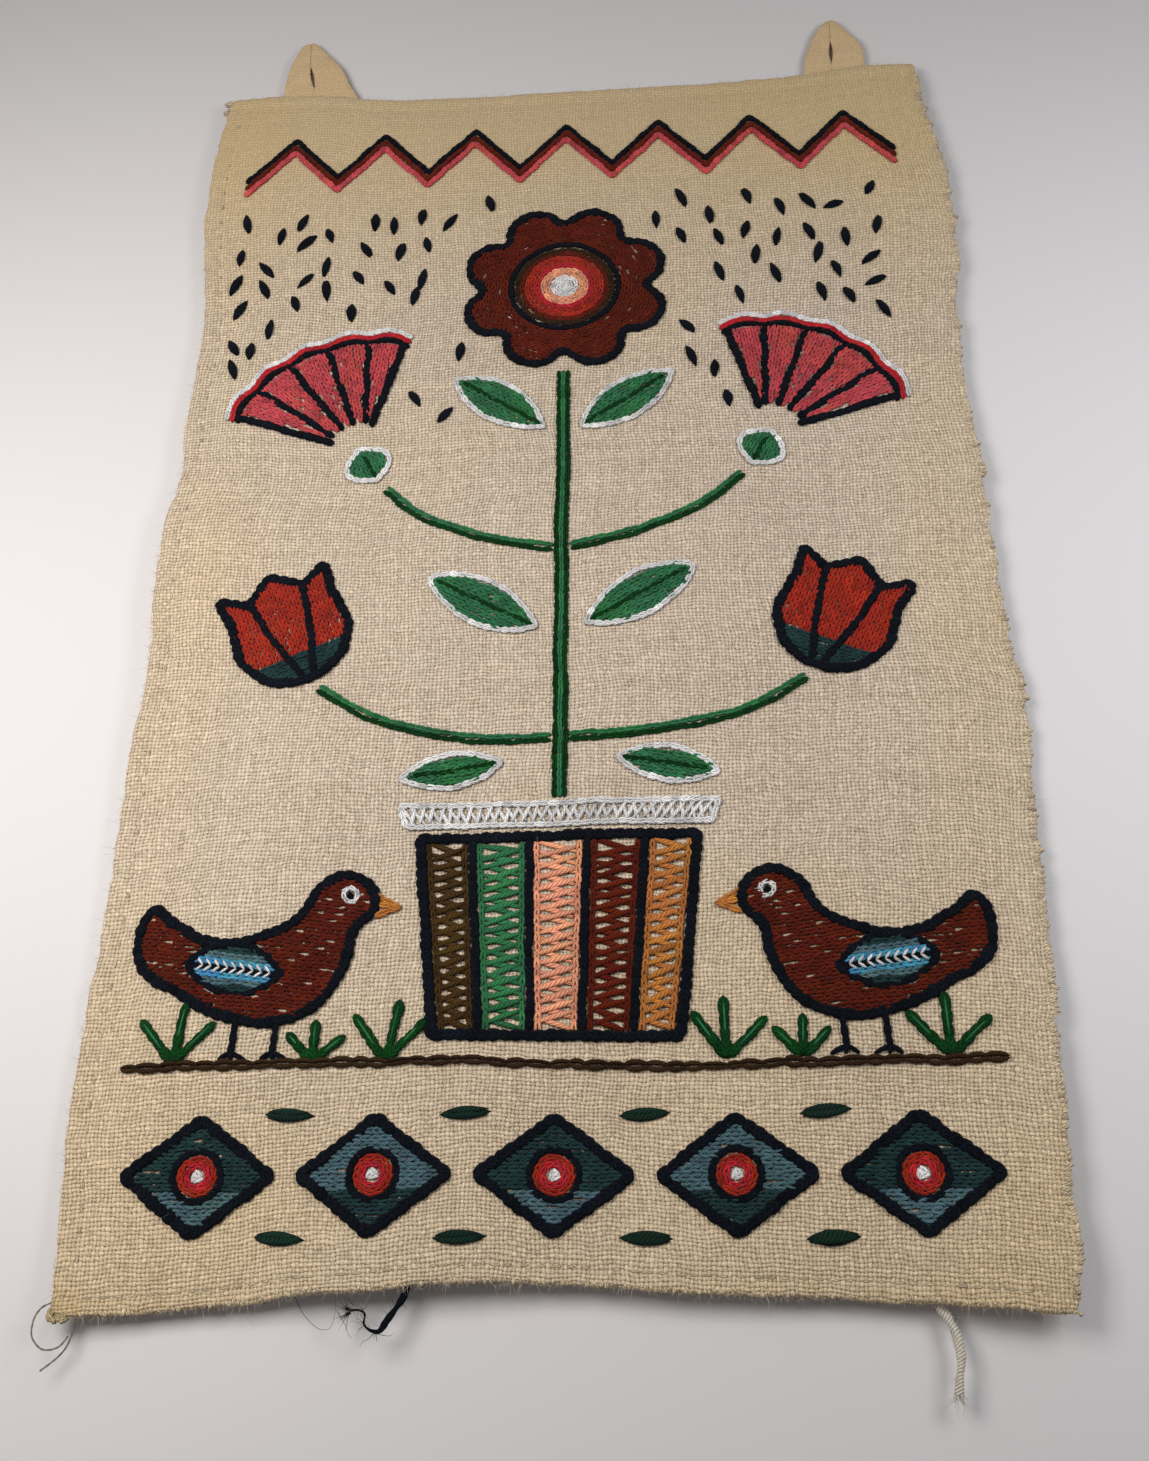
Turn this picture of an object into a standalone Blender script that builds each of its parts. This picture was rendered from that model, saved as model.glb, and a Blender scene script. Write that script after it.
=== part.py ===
"""Woven wall hanging: a cream hand-woven panel with hemmed edges, two folded hanging loops, raised areas
of wool embroidery and four loose thread ends. It hangs in the XZ plane with its worked face towards -Y.
The origin is the middle of the panel's top edge. All sizes are in millimetres unless named otherwise."""

from math import cos, pi, radians, sin

import bmesh
import bpy
import numpy as np
from mathutils import Vector

MM = 0.001

# Driving dimensions of the cloth
CLOTH_THICK = 1.6
HEM_THICK = 3.0
HEM_TOP = 8.0
HEM_LEFT = 8.0
HEM_BOTTOM = 6.5
HEM_STEP = 1.6
SELVEDGE_LINE = 4.0
CELL = 18.0
RIM_ROUND = 0.45
CORNER_PULL = 1.2

# The cut outline, read as (height, across) for the sides and (across, height) for top and bottom
LEFT_EDGE = ((7, -178), (-20, -181), (-52, -183), (-90, -182), (-146, -176), (-200, -177.5), (-235, -176),
             (-262, -180), (-300, -180), (-338, -178.5), (-375, -181), (-430, -182), (-517, -185.5),
             (-553, -183), (-595, -179))
RIGHT_EDGE = ((7, 179), (-20, 180.5), (-48, 185), (-75, 187), (-112, 188), (-150, 184), (-180, 182.5),
              (-208, 182.5), (-240, 185), (-291, 186), (-330, 188), (-358, 191), (-395, 189), (-452, 188),
              (-495, 185.5), (-535, 184), (-595, 180))
TOP_EDGE = ((-178, 7), (-150, 8), (-120, 6), (-105, 3), (-85, 0.5), (0, 0), (60, 0.5), (100, 1.5),
            (122, 3), (154, 7.5), (179, 7))
BOTTOM_EDGE = ((-180, -595), (-150, -593.5), (-114, -590.5), (-97, -588), (-66, -586), (-35, -583.5),
               (10, -584), (45, -586.5), (92, -588), (117, -589), (150, -591), (180, -594))

# Slow waves of the hanging cloth: height of wave, length across, length down, phase
WAVES = ((2.0, 230.0, 520.0, 0.4), (1.3, 120.0, -310.0, 2.1))
CALM_DEPTH = 30.0
FULL_DEPTH = 330.0
FOOT_CURL = 3.0
FOOT_CURL_HEIGHT = 45.0

# Folded hanging loops: the outline from the left foot behind the hem over the top to the right foot, the foot
# and the top of the eye between the legs, and the height from which the folded top lies doubled behind them
LOOPS = {
    "loop_left": (
        ((-152.0, 0.5), (-152.7, 8.0), (-151.6, 16.0), (-151.1, 25.0), (-149.3, 35.0), (-146.6, 43.5),
         (-144.0, 49.0), (-140.4, 51.2), (-136.6, 49.8), (-132.2, 44.2), (-127.4, 39.0), (-122.6, 32.6),
         (-118.8, 24.4), (-115.4, 16.4), (-111.4, 8.5), (-109.0, 0.5)),
        (-135.1, 15.5), (-138.9, 34.0), 36.5),
    "loop_right": (
        ((122.8, -3.5), (122.9, 4.0), (123.3, 12.0), (124.4, 20.5), (127.4, 30.3), (131.6, 39.2),
         (134.6, 44.0), (137.8, 45.6), (141.2, 44.4), (144.0, 40.8), (147.6, 35.4), (151.6, 30.0),
         (153.6, 23.8), (154.1, 16.0), (154.0, 8.0), (153.6, 0.0)),
        (137.2, 13.0), (137.6, 31.5), 33.5),
}
LOOP_POINTS = 34
EYE_HALF_WIDTH = 2.9
EYE_POINTS = 20
TAPE_THICK = 1.5
TAPE_GAP = 0.3
FOLD_LAP = 0.1

# Raised wool work
WOOL_GAP = 0.3
WOOL_THICK = 1.3
PARTING = 0.8
THROUGH = (-30.0, 30.0)

# Thread ends: radius, the share of it left at the tip, colour, then the route as (across, height, back from
# the cloth's middle)
THREADS = {
    "thread_white": (1.7, 0.75, "wool_white", (
        (131.6, -577.0, 4.4), (132.6, -583.5, 4.4), (134.3, -590.2, 4.2), (136.4, -594.2, 3.7),
        (138.0, -598.4, 3.0), (139.0, -603.4, 2.3), (139.0, -608.4, 1.8), (137.9, -613.2, 1.7),
        (137.3, -618.4, 1.9))),
    "thread_navy": (1.15, 0.3, "wool_black", (
        (-50.6, -577.0, 3.9), (-51.0, -582.5, 3.9), (-52.4, -587.4, 3.7), (-55.0, -591.6, 3.1),
        (-57.8, -595.6, 2.4), (-60.1, -598.9, 1.9), (-63.2, -598.7, 1.6), (-65.7, -596.6, 1.4),
        (-65.5, -593.4, 1.6), (-68.2, -592.0, 2.2), (-71.2, -592.2, 2.6))),
    "thread_corner_curl": (0.3, 1.0, "wool_white", (
        (-173.0, -588.0, 2.9), (-177.0, -588.4, 2.9), (-181.0, -589.6, 2.8), (-183.9, -591.6, 2.0),
        (-185.4, -595.6, 1.2), (-184.9, -601.0, 0.9), (-180.6, -605.0, 1.0), (-175.2, -604.3, 1.2),
        (-172.2, -600.6, 1.4))),
    "thread_corner_end": (0.3, 1.0, "wool_white", (
        (-168.6, -582.0, 2.9), (-169.2, -588.0, 2.9), (-170.6, -594.4, 3.2), (-171.8, -599.8, 3.8),
        (-173.6, -604.6, 4.0), (-176.8, -608.4, 3.6), (-181.0, -612.0, 2.6))),
}
THINNING = (0.45, 0.65)
THREAD_POINTS = 28

# Colours of the cloth and yarns, linear red, green and blue
COLOURS = {
    "ground_cloth": (0.578, 0.456, 0.305),
    "wool_white": (0.679, 0.645, 0.584),
    "wool_black": (0.009, 0.010, 0.018),
    "wool_rust": (0.156, 0.023, 0.012),
    "wool_rose": (0.513, 0.080, 0.102),
    "wool_orange": (0.429, 0.038, 0.019),
    "wool_green": (0.021, 0.156, 0.061),
    "wool_teal": (0.019, 0.045, 0.054),
    "wool_blue": (0.080, 0.156, 0.188),
    "wool_brown": (0.061, 0.032, 0.010),
}


def smooth_step(value):
    """Eases from 0 to 1 while the value goes from 0 to 1."""
    value = min(1.0, max(0.0, value))
    return value * value * (3.0 - 2.0 * value)


def read_edge(table, at):
    """The edge's position at a height or across, on a smooth curve through the table's points."""
    rows = sorted(table)
    at = min(max(at, rows[0][0]), rows[-1][0])
    k = max(i for i in range(len(rows) - 1) if rows[i][0] <= at)
    before, after = rows[max(k - 1, 0)], rows[min(k + 2, len(rows) - 1)]
    (a, start), (b, end) = rows[k], rows[k + 1]
    t = (at - a) / (b - a)
    leave = (end - before[1]) / (b - before[0]) * (b - a)
    arrive = (after[1] - start) / (after[0] - a) * (b - a)
    return ((2 * t**3 - 3 * t**2 + 1) * start + (t**3 - 2 * t**2 + t) * leave
            + (3 * t**2 - 2 * t**3) * end + (t**3 - t**2) * arrive)


def wave(across, height):
    """How far the cloth stands off its mean plane, backwards, at a place on it."""
    depth = -height
    calm = smooth_step((depth - CALM_DEPTH) / (FULL_DEPTH - CALM_DEPTH))
    total = 0.0
    for size, wide, tall, phase in WAVES:
        total += size * sin(2 * pi * (across / wide + height / tall) + phase)
    foot = read_edge(BOTTOM_EDGE, across)
    curl = FOOT_CURL * smooth_step(1.0 - (height - foot) / FOOT_CURL_HEIGHT)
    return total * calm - curl


def edge_lines(length, near_hem, far_hem):
    """Positions of the grid's lines from one edge to the other, with a step at the inside of each hem."""
    near = [0.0, near_hem / 2, near_hem, near_hem + HEM_STEP]
    far = [length - far_hem - HEM_STEP, length - far_hem, length - far_hem / 2, length]
    if not far_hem:
        far = [length - SELVEDGE_LINE, length]
    count = round((far[0] - near[-1]) / CELL)
    middle = np.linspace(near[-1], far[0], count + 1)[1:-1]
    return [value / length for value in (*near, *middle, *far)]


def cloth_point(u, v):
    """A place on the cloth, from 0 to 1 across and 0 to 1 down, as across and height."""
    height = (1 - v) * read_edge(TOP_EDGE, (u - 0.5) * 358) + v * read_edge(BOTTOM_EDGE, (u - 0.5) * 360)
    across = (1 - u) * read_edge(LEFT_EDGE, height) + u * read_edge(RIGHT_EDGE, height)
    height = (1 - v) * read_edge(TOP_EDGE, across) + v * read_edge(BOTTOM_EDGE, across)
    return across, height


ACROSS_LINES = edge_lines(366.0, HEM_LEFT, 0.0)
DOWN_LINES = edge_lines(594.0, HEM_TOP, HEM_BOTTOM)


def new_object(name, mesh, collection, colour=None):
    """Puts a mesh in the scene under a name, with its colour as a material."""
    item = bpy.data.objects.new(name, mesh)
    collection.objects.link(item)
    if colour:
        item.data.materials.append(materials[colour])
    return item


def make_material(name, colour):
    """A rough woollen or cotton material of one colour."""
    material = bpy.data.materials.new(name)
    material.use_nodes = True
    shader = material.node_tree.nodes["Principled BSDF"]
    shader.inputs["Base Color"].default_value = (*colour, 1.0)
    shader.inputs["Roughness"].default_value = 0.95
    shader.inputs["Metallic"].default_value = 0.0
    material.diffuse_color = (*colour, 1.0)
    return material


def cloth_surface(name, forward):
    """The cloth's front surface as an open grid, moved forwards by a distance. Its faces look backwards,
    so Solidify adds the thickness behind it."""
    columns, rows = len(ACROSS_LINES), len(DOWN_LINES)
    mesh = bpy.data.meshes.new(name)
    bm = bmesh.new()
    bmesh.ops.create_grid(bm, x_segments=columns - 1, y_segments=rows - 1, size=0.5)
    for vert in bm.verts:
        column = round((vert.co.x + 0.5) * (columns - 1))
        row = round((0.5 - vert.co.y) * (rows - 1))
        across, height = cloth_point(ACROSS_LINES[column], DOWN_LINES[row])
        if column in (0, columns - 1) and row in (0, rows - 1):
            across -= CORNER_PULL * (1 if column else -1)
            height += CORNER_PULL * (1 if row else -1)
        back = wave(across, height) - CLOTH_THICK / 2 - forward
        vert.co = Vector((across, back, height)) * MM
    bmesh.ops.recalc_face_normals(bm, faces=bm.faces)
    bm.faces.ensure_lookup_table()
    if bm.faces[0].normal.y < 0:
        bmesh.ops.reverse_faces(bm, faces=bm.faces)
    bm.to_mesh(mesh)
    bm.free()
    return mesh


def thicken(item, thickness, group=None, thin_share=1.0):
    """Gives an open surface its thickness on the side its faces look to."""
    solid = item.modifiers.new("thickness", "SOLIDIFY")
    solid.thickness = thickness * MM
    solid.offset = 1.0
    solid.use_even_offset = True
    if group:
        solid.vertex_group = group
        solid.thickness_vertex_group = thin_share
    return solid


def make_panel():
    """The hemmed panel: one sheet, thicker along its turned-back top, left and bottom hems."""
    panel = new_object("panel", cloth_surface("panel", 0.0), hanging, "ground_cloth")
    hem = panel.vertex_groups.new(name="hem")
    columns, rows = len(ACROSS_LINES), len(DOWN_LINES)
    for vert in panel.data.vertices:
        row, column = divmod(vert.index, columns)
        row = rows - 1 - row
        hemmed = column <= 2 or row <= 2 or row >= rows - 3
        hem.add([vert.index], 1.0 if hemmed else 0.0, "REPLACE")
    thicken(panel, HEM_THICK, "hem", CLOTH_THICK / HEM_THICK)
    rim = panel.modifiers.new("rounded_rim", "BEVEL")
    rim.width = RIM_ROUND * MM
    rim.segments = 2
    rim.limit_method = "ANGLE"
    rim.angle_limit = radians(60)
    return panel


def make_loop(name, outline, eye_foot, eye_top, fold_foot):
    """A hanging loop: both legs of one tape side by side behind the top hem, parted by the eye and sewn
    together below it, with the folded top doubled behind them."""
    base = read_edge(TOP_EDGE, eye_foot[0])
    front = HEM_THICK - CLOTH_THICK / 2 + TAPE_GAP + wave(eye_foot[0], base)
    middle = front + TAPE_THICK
    edge = [tuple(place) for place in smooth_route(outline, LOOP_POINTS)]
    folded = [place for place in edge if place[1] > fold_foot]
    loop = prism(name, edge, (front, middle), hanging, "ground_cloth")
    cut(loop, "DIFFERENCE", prism(f"{name}_eye", eye(eye_foot, eye_top)))
    cut(loop, "UNION", prism(f"{name}_fold", folded, (middle - FOLD_LAP, middle + TAPE_THICK)))


def eye(foot, top):
    """A slender pointed opening's outline, from its foot to its top."""
    foot, top = np.array(foot), np.array(top)
    ahead = top - foot
    aside = np.array((ahead[1], -ahead[0])) / np.linalg.norm(ahead)
    shares = [k / EYE_POINTS for k in range(EYE_POINTS + 1)]
    right = [tuple(foot + ahead * t + aside * EYE_HALF_WIDTH * sin(pi * t)) for t in shares]
    left = [tuple(foot + ahead * t - aside * EYE_HALF_WIDTH * sin(pi * t)) for t in shares[1:-1]]
    return right + left[::-1]


def smooth_route(points, count):
    """Points read evenly from a smooth curve through a list of points."""
    padded = [points[0], *points, points[-1]]
    route = []
    for number in range(count):
        place = number / (count - 1) * (len(points) - 1)
        k = min(int(place), len(points) - 2)
        t = place - k
        before, start, end, after = (np.array(padded[k + i], float) for i in range(4))
        route.append(0.5 * (2 * start + (end - before) * t + (2 * before - 5 * start + 4 * end - after) * t**2
                            + (3 * start - before - 3 * end + after) * t**3))
    return route


def smooth_closed(points, count):
    """A closed outline read from a smooth curve through a few corners."""
    around = [*points, *points, *points]
    share = len(points) / count
    steps = 8
    fine = smooth_route(around, (len(around) - 1) * steps + 1)
    first = len(points) * steps
    return [tuple(fine[round(first + k * share * steps)]) for k in range(count)]


def make_thread(name, radius, tip_share, colour, points):
    """A loose end of yarn as a round tube along its route, which thins towards its tip."""
    curve = bpy.data.curves.new(name, "CURVE")
    curve.dimensions = "3D"
    curve.bevel_depth = radius * MM
    curve.bevel_resolution = 2
    curve.use_fill_caps = True
    spline = curve.splines.new("POLY")
    route = smooth_route(points, THREAD_POINTS)
    spline.points.add(len(route) - 1)
    for number, (place, (across, height, back)) in enumerate(zip(spline.points, route)):
        beside = wave(across, max(height, read_edge(BOTTOM_EDGE, across)))
        place.co = (across * MM, (back + beside) * MM, height * MM, 1.0)
        thinned = (number / (THREAD_POINTS - 1) - THINNING[0]) / (THINNING[1] - THINNING[0])
        place.radius = 1.0 - (1.0 - tip_share) * smooth_step(thinned)
    return new_object(name, curve, hanging, colour)


def turn(points, across, height, degrees=0.0, mirror=False):
    """Turns a local outline and sets it down on the cloth."""
    angle = radians(degrees)
    flip = -1 if mirror else 1
    return [(flip * (across + x * cos(angle) - z * sin(angle)), height + x * sin(angle) + z * cos(angle))
            for x, z in points]


def ring(radius, count=28):
    """A circle's outline."""
    return [(radius * cos(2 * pi * k / count), radius * sin(2 * pi * k / count)) for k in range(count)]


def petals(inner, outer, number, steps=6):
    """A round flower's outline with rounded petals."""
    outline = []
    for k in range(number * steps):
        angle = 2 * pi * k / (number * steps)
        reach = inner + (outer - inner) * abs(sin(number * angle / 2)) ** 0.7
        outline.append((reach * cos(angle), reach * sin(angle)))
    return outline


def leaf(length, width, steps=8):
    """A pointed leaf from its root at 0, 0 along +X."""
    upper = [(length * k / steps, width / 2 * sin(pi * k / steps) ** 0.8) for k in range(steps + 1)]
    return upper + [(x, -z) for x, z in reversed(upper[1:-1])]


def fan(inner, outer, spread, scallops, steps=4):
    """A fan-shaped flower head opening along +X, with a scalloped outer edge."""
    half = radians(spread / 2)
    count = scallops * steps
    edge = []
    for k in range(count + 1):
        angle = -half + 2 * half * k / count
        reach = outer + 2.5 * abs(sin(pi * k / steps))
        edge.append((reach * cos(angle), reach * sin(angle)))
    root = [(inner * cos(half * s), inner * sin(half * s)) for s in (1.0, 0.0, -1.0)]
    return edge + root


def tulip(length, width):
    """A three-tipped flower head opening along +X from its root."""
    side = [(0.0, 0.12), (0.1, 0.34), (0.35, 0.5), (0.68, 0.46), (1.0, 0.5), (0.86, 0.24), (1.04, 0.0)]
    upper = [(length * x, width * z) for x, z in side]
    return upper + [(x, -z) for x, z in reversed(upper[:-1])]


def ribbon(points, width, count=14):
    """An even band of a given width along a smooth line."""
    route = smooth_route(points, count)
    left, right = [], []
    for k, place in enumerate(route):
        ahead = route[min(k + 1, count - 1)] - route[max(k - 1, 0)]
        side = np.array((-ahead[1], ahead[0])) / np.linalg.norm(ahead) * width / 2
        left.append(tuple(place + side))
        right.append(tuple(place - side))
    return left + right[::-1]


def zigzag(reach, low, high, width, peaks):
    """A band that climbs and falls evenly between two heights."""
    corners = [(-reach + 2 * reach * k / (2 * peaks), high if k % 2 else low) for k in range(2 * peaks + 1)]
    return corners + [(x, z - width) for x, z in reversed(corners)]


BIRD_STEPS = 34
BIRD_BODY = ((-50, 52), (-47, 37), (-31, 27), (-12, 17), (10, 14), (28, 22), (37, 38), (40, 52), (48, 60),
             (46, 71), (35, 77), (23, 72), (15, 58), (1, 51), (-16, 49), (-32, 57), (-44, 65))
POT_OUTLINE = ((-58, -412), (58, -412), (49, -497), (-49, -497))
POT_RIM = ((-66, -398), (66, -398), (63, -410.5), (-63, -410.5))
LOZENGE = ((-31, 0), (0, 23), (31, 0), (0, -23))
GROUND_LINE = ((-166, -506), (-60, -504.5), (60, -506.5), (166, -505))
UPPER_BRANCH = ((4.6, -278), (34, -272), (62, -260), (80, -244))
LOWER_BRANCH = ((4.6, -370), (38, -369), (76, -361), (102, -346))


def motif_outlines():
    """Every raised area of wool: name, colour, outline and the outline of its hole, if it has one."""
    areas = [
        ("wool_zigzag", "wool_rust", zigzag(163, -51, -24, 13.0, 7), None),
        ("wool_rosette_petals", "wool_rust", turn(petals(41, 51, 8), 0, -132),
         turn(ring(24 + PARTING), 0, -132)),
        ("wool_rosette_middle", "wool_orange", turn(ring(24), 0, -132), None),
        ("wool_stem", "wool_green", ribbon(((0, -184), (0, -396.5)), 6.5, 6), None),
        ("wool_pot_rim", "wool_white", POT_RIM, None),
        ("wool_pot", "wool_brown", POT_OUTLINE, None),
        ("wool_ground_line", "wool_brown", ribbon(GROUND_LINE, 6.0), None),
    ]
    for side, mirror in (("left", True), ("right", False)):
        areas += [
            (f"wool_fan_{side}", "wool_rose", turn(fan(17, 70, 88, 5), 92, -224, 62, mirror), None),
            (f"wool_fan_cup_{side}", "wool_green", turn(leaf(23, 24, 6), 84, -240, 62, mirror), None),
            (f"wool_tulip_{side}", "wool_orange", turn(tulip(58, 54), 106, -342, 66, mirror), None),
            (f"wool_upper_branch_{side}", "wool_green",
             turn(ribbon(UPPER_BRANCH, 5.0, 9), 0, 0, 0, mirror), None),
            (f"wool_lower_branch_{side}", "wool_green",
             turn(ribbon(LOWER_BRANCH, 5.0, 9), 0, 0, 0, mirror), None),
            (f"wool_top_leaf_{side}", "wool_green", turn(leaf(56, 23), 7, -216, 36, mirror), None),
            (f"wool_middle_leaf_{side}", "wool_green", turn(leaf(58, 24), 9, -318, 28, mirror), None),
            (f"wool_low_leaf_{side}", "wool_green", turn(leaf(46, 18), 22, -380, -10, mirror), None),
            (f"wool_bird_{side}", "wool_rust",
             turn(smooth_closed([(-x, z) for x, z in BIRD_BODY], BIRD_STEPS), 118, -505, 0, mirror), None),
        ]
    for number in range(5):
        shade = "wool_blue" if number % 2 else "wool_teal"
        areas.append((f"wool_lozenge_{number + 1}", shade, turn(LOZENGE, 66 * (number - 2), -546), None))
    return areas


def prism(name, outline, depth=THROUGH, collection=None, colour=None):
    """A solid on an outline, from one distance behind the cloth's mean plane to another: a cutter through
    the cloth unless it is given a depth and its collection."""
    bm = bmesh.new()
    corners = [bm.verts.new(Vector((x, depth[0], z)) * MM) for x, z in outline]
    face = bm.faces.new(corners)
    pushed = bmesh.ops.extrude_face_region(bm, geom=[face])
    moved = [part for part in pushed["geom"] if isinstance(part, bmesh.types.BMVert)]
    bmesh.ops.translate(bm, verts=moved, vec=Vector((0.0, depth[1] - depth[0], 0.0)) * MM)
    bmesh.ops.recalc_face_normals(bm, faces=bm.faces)
    mesh = bpy.data.meshes.new(name)
    bm.to_mesh(mesh)
    bm.free()
    item = new_object(name, mesh, collection or cutters, colour)
    if not collection:
        item.hide_render = True
        item.display_type = "WIRE"
    return item


def cut(item, operation, cutter):
    """Adds an exact Boolean to an object."""
    change = item.modifiers.new(operation.lower(), "BOOLEAN")
    change.operation = operation
    change.solver = "EXACT"
    change.object = cutter


def make_motif(name, colour, outline, hole, layer):
    """One raised area of wool, cut from a layer that follows the cloth."""
    motif = new_object(name, layer.copy(), hanging, colour)
    thicken(motif, WOOL_THICK)
    cut(motif, "INTERSECT", prism(f"{name}_outline", outline))
    if hole:
        cut(motif, "DIFFERENCE", prism(f"{name}_hole", hole))
    return motif


for old in list(bpy.data.objects):
    bpy.data.objects.remove(old)
hanging = bpy.data.collections.new("woven_wall_hanging")
cutters = bpy.data.collections.new("cutters")
for group in (hanging, cutters):
    bpy.context.scene.collection.children.link(group)
materials = {name: make_material(name, colour) for name, colour in COLOURS.items()}

make_panel()
for loop_name, loop_sizes in LOOPS.items():
    make_loop(loop_name, *loop_sizes)
for thread_name, thread_sizes in THREADS.items():
    make_thread(thread_name, *thread_sizes)
wool_layer = cloth_surface("wool_layer", WOOL_GAP + WOOL_THICK)
for motif_name, motif_colour, motif_outline, motif_hole in motif_outlines():
    make_motif(motif_name, motif_colour, motif_outline, motif_hole, wool_layer)
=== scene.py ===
"""Looks of the woven wall hanging: the cream hand-woven cloth, its folded loops, the wool chain stitch and
the loose thread ends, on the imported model's frame. Sizes are in millimetres unless named otherwise, and
places on the cloth are (across, height), with the origin at the middle of the top edge and the worked face
towards -Y."""

from collections import namedtuple
from math import cos, pi, radians, sin

import bmesh
import bpy
import numpy as np
from mathutils import Matrix, Vector


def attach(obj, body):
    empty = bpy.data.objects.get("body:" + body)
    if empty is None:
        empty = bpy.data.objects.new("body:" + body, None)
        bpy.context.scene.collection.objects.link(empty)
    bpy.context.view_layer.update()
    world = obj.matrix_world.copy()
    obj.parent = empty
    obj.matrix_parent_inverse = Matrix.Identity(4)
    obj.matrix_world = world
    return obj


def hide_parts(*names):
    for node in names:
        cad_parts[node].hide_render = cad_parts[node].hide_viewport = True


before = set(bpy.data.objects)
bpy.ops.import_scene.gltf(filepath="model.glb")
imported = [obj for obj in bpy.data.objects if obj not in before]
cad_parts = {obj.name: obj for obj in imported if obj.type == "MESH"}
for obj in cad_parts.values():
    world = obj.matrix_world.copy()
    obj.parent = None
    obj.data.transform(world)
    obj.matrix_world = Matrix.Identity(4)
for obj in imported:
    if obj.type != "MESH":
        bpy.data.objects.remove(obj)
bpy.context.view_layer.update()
rng = np.random.default_rng(11)

MM = 0.001

# The photograph's camera, solved from the corners of the cloth, in metres
CAMERA_PLACE = (0.0490, -0.5586, -0.6343)
CAMERA_RIGHT = (0.99729, 0.07330, 0.00656)
CAMERA_UP = (0.02563, -0.42942, 0.90274)
CAMERA_BACK = (0.06899, -0.90013, -0.43013)
CAMERA_LENS = 36.96

# Lights: place and aim in metres, size, power in watts and colour
LAMPS = (
    ("left_lamp", (-0.29, -0.48, -0.338), (-0.29, 0.0, -0.338), 0.34, 2.80, (1.0, 0.975, 0.965)),
    ("right_lamp", (0.445, -0.44, -0.308), (0.445, 0.0, -0.308), 0.30, 1.72, (0.965, 0.98, 1.025)),
    ("back_lamp", (0.20, 1.60, 0.10), (0.0, 0.0, -0.30), 1.20, 26.0, (1.0, 1.0, 1.0)),
)
WORLD_COLOUR = (0.94, 0.95, 0.97)
WORLD_LIGHT = 0.20
WALL_COLOUR = (0.735, 0.708, 0.700)
FLOOR_COLOUR = (0.74, 0.73, 0.72)
WALL_BACK = 7.5
FLOOR_HEIGHT = -1400.0

# The cloth, as in the part's source
CLOTH_THICK = 1.6
HEM_THICK = 3.0
HEM_TOP = 8.0
HEM_LEFT = 8.0
HEM_BOTTOM = 6.5
HEM_STEP = 1.6
CLOTH_WIDE = 366.0
CLOTH_TALL = 594.0
LEFT_EDGE = ((7, -178), (-20, -181), (-52, -183), (-90, -182), (-146, -176), (-200, -177.5), (-235, -176),
             (-262, -180), (-300, -180), (-338, -178.5), (-375, -181), (-430, -182), (-517, -185.5),
             (-553, -183), (-595, -179))
RIGHT_EDGE = ((7, 179), (-20, 180.5), (-48, 185), (-75, 187), (-112, 188), (-150, 184), (-180, 182.5),
              (-208, 182.5), (-240, 185), (-291, 186), (-330, 188), (-358, 191), (-395, 189), (-452, 188),
              (-495, 185.5), (-535, 184), (-595, 180))
TOP_EDGE = ((-178, 7), (-150, 8), (-120, 6), (-105, 3), (-85, 0.5), (0, 0), (60, 0.5), (100, 1.5),
            (122, 3), (154, 7.5), (179, 7))
BOTTOM_EDGE = ((-180, -595), (-150, -593.5), (-114, -590.5), (-97, -588), (-66, -586), (-35, -583.5),
               (10, -584), (45, -586.5), (92, -588), (117, -589), (150, -591), (180, -594))
WAVES = ((2.0, 230.0, 520.0, 0.4), (1.3, 120.0, -310.0, 2.1))
CALM_DEPTH = 30.0
FULL_DEPTH = 330.0
FOOT_CURL = 3.0
FOOT_CURL_HEIGHT = 45.0
CORNER_ROLL = 1.2

# How far the corners are drawn in, and how far from a corner it shows
CORNER_DRAW = 1.3
CORNER_REACH = 2.2

# Unevenness of the side edges, seed and size, and how far from any edge its bumps show
LEFT_BUMPS = (21, 0.65)
RIGHT_BUMPS = (22, 1.2)
BUMP_REACH = 3.5

# Lines of the cloth's mesh: distances from an edge, then an even step
EDGE_LINES = (0.0, 0.1, 0.4, 0.9, 1.6, 2.8, 4.6, 6.4, 8.0, 9.6, 11.6)
EVEN_STEP = 2.8

# From one thread of the weave to the next, in the cloth and in the loops' tape
THREAD_STEP = 1.6
TAPE_THREAD_STEP = 1.2

# Folded hanging loops, as in the part's source: the outline from the left foot behind the hem over the top to
# the right foot, the foot and the top of the eye between the legs, and the height from which the folded top
# lies doubled behind them
LOOPS = {
    "left": (
        ((-152.0, 0.5), (-152.7, 8.0), (-151.6, 16.0), (-151.1, 25.0), (-149.3, 35.0), (-146.6, 43.5),
         (-144.0, 49.0), (-140.4, 51.2), (-136.6, 49.8), (-132.2, 44.2), (-127.4, 39.0), (-122.6, 32.6),
         (-118.8, 24.4), (-115.4, 16.4), (-111.4, 8.5), (-109.0, 0.5)),
        (-135.1, 15.5), (-138.9, 34.0), 36.5),
    "right": (
        ((122.8, -3.5), (122.9, 4.0), (123.3, 12.0), (124.4, 20.5), (127.4, 30.3), (131.6, 39.2),
         (134.6, 44.0), (137.8, 45.6), (141.2, 44.4), (144.0, 40.8), (147.6, 35.4), (151.6, 30.0),
         (153.6, 23.8), (154.1, 16.0), (154.0, 8.0), (153.6, 0.0)),
        (137.2, 13.0), (137.6, 31.5), 33.5),
}

# The loops' mesh, the half width of the slit, how far the legs lap over each other, stand one behind the
# other and past the fold's sides, and the tape's thickness and its gap to the hem
LOOP_ROWS = 34
LOOP_ROUTE_POINTS = 120
EYE_HALF_WIDTH = 0.95
LEG_LAP = 0.25
LEG_STEP = 0.3
FOLD_INSET = 0.4
TAPE_THICK = 1.5
TAPE_GAP = 0.3

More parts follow.
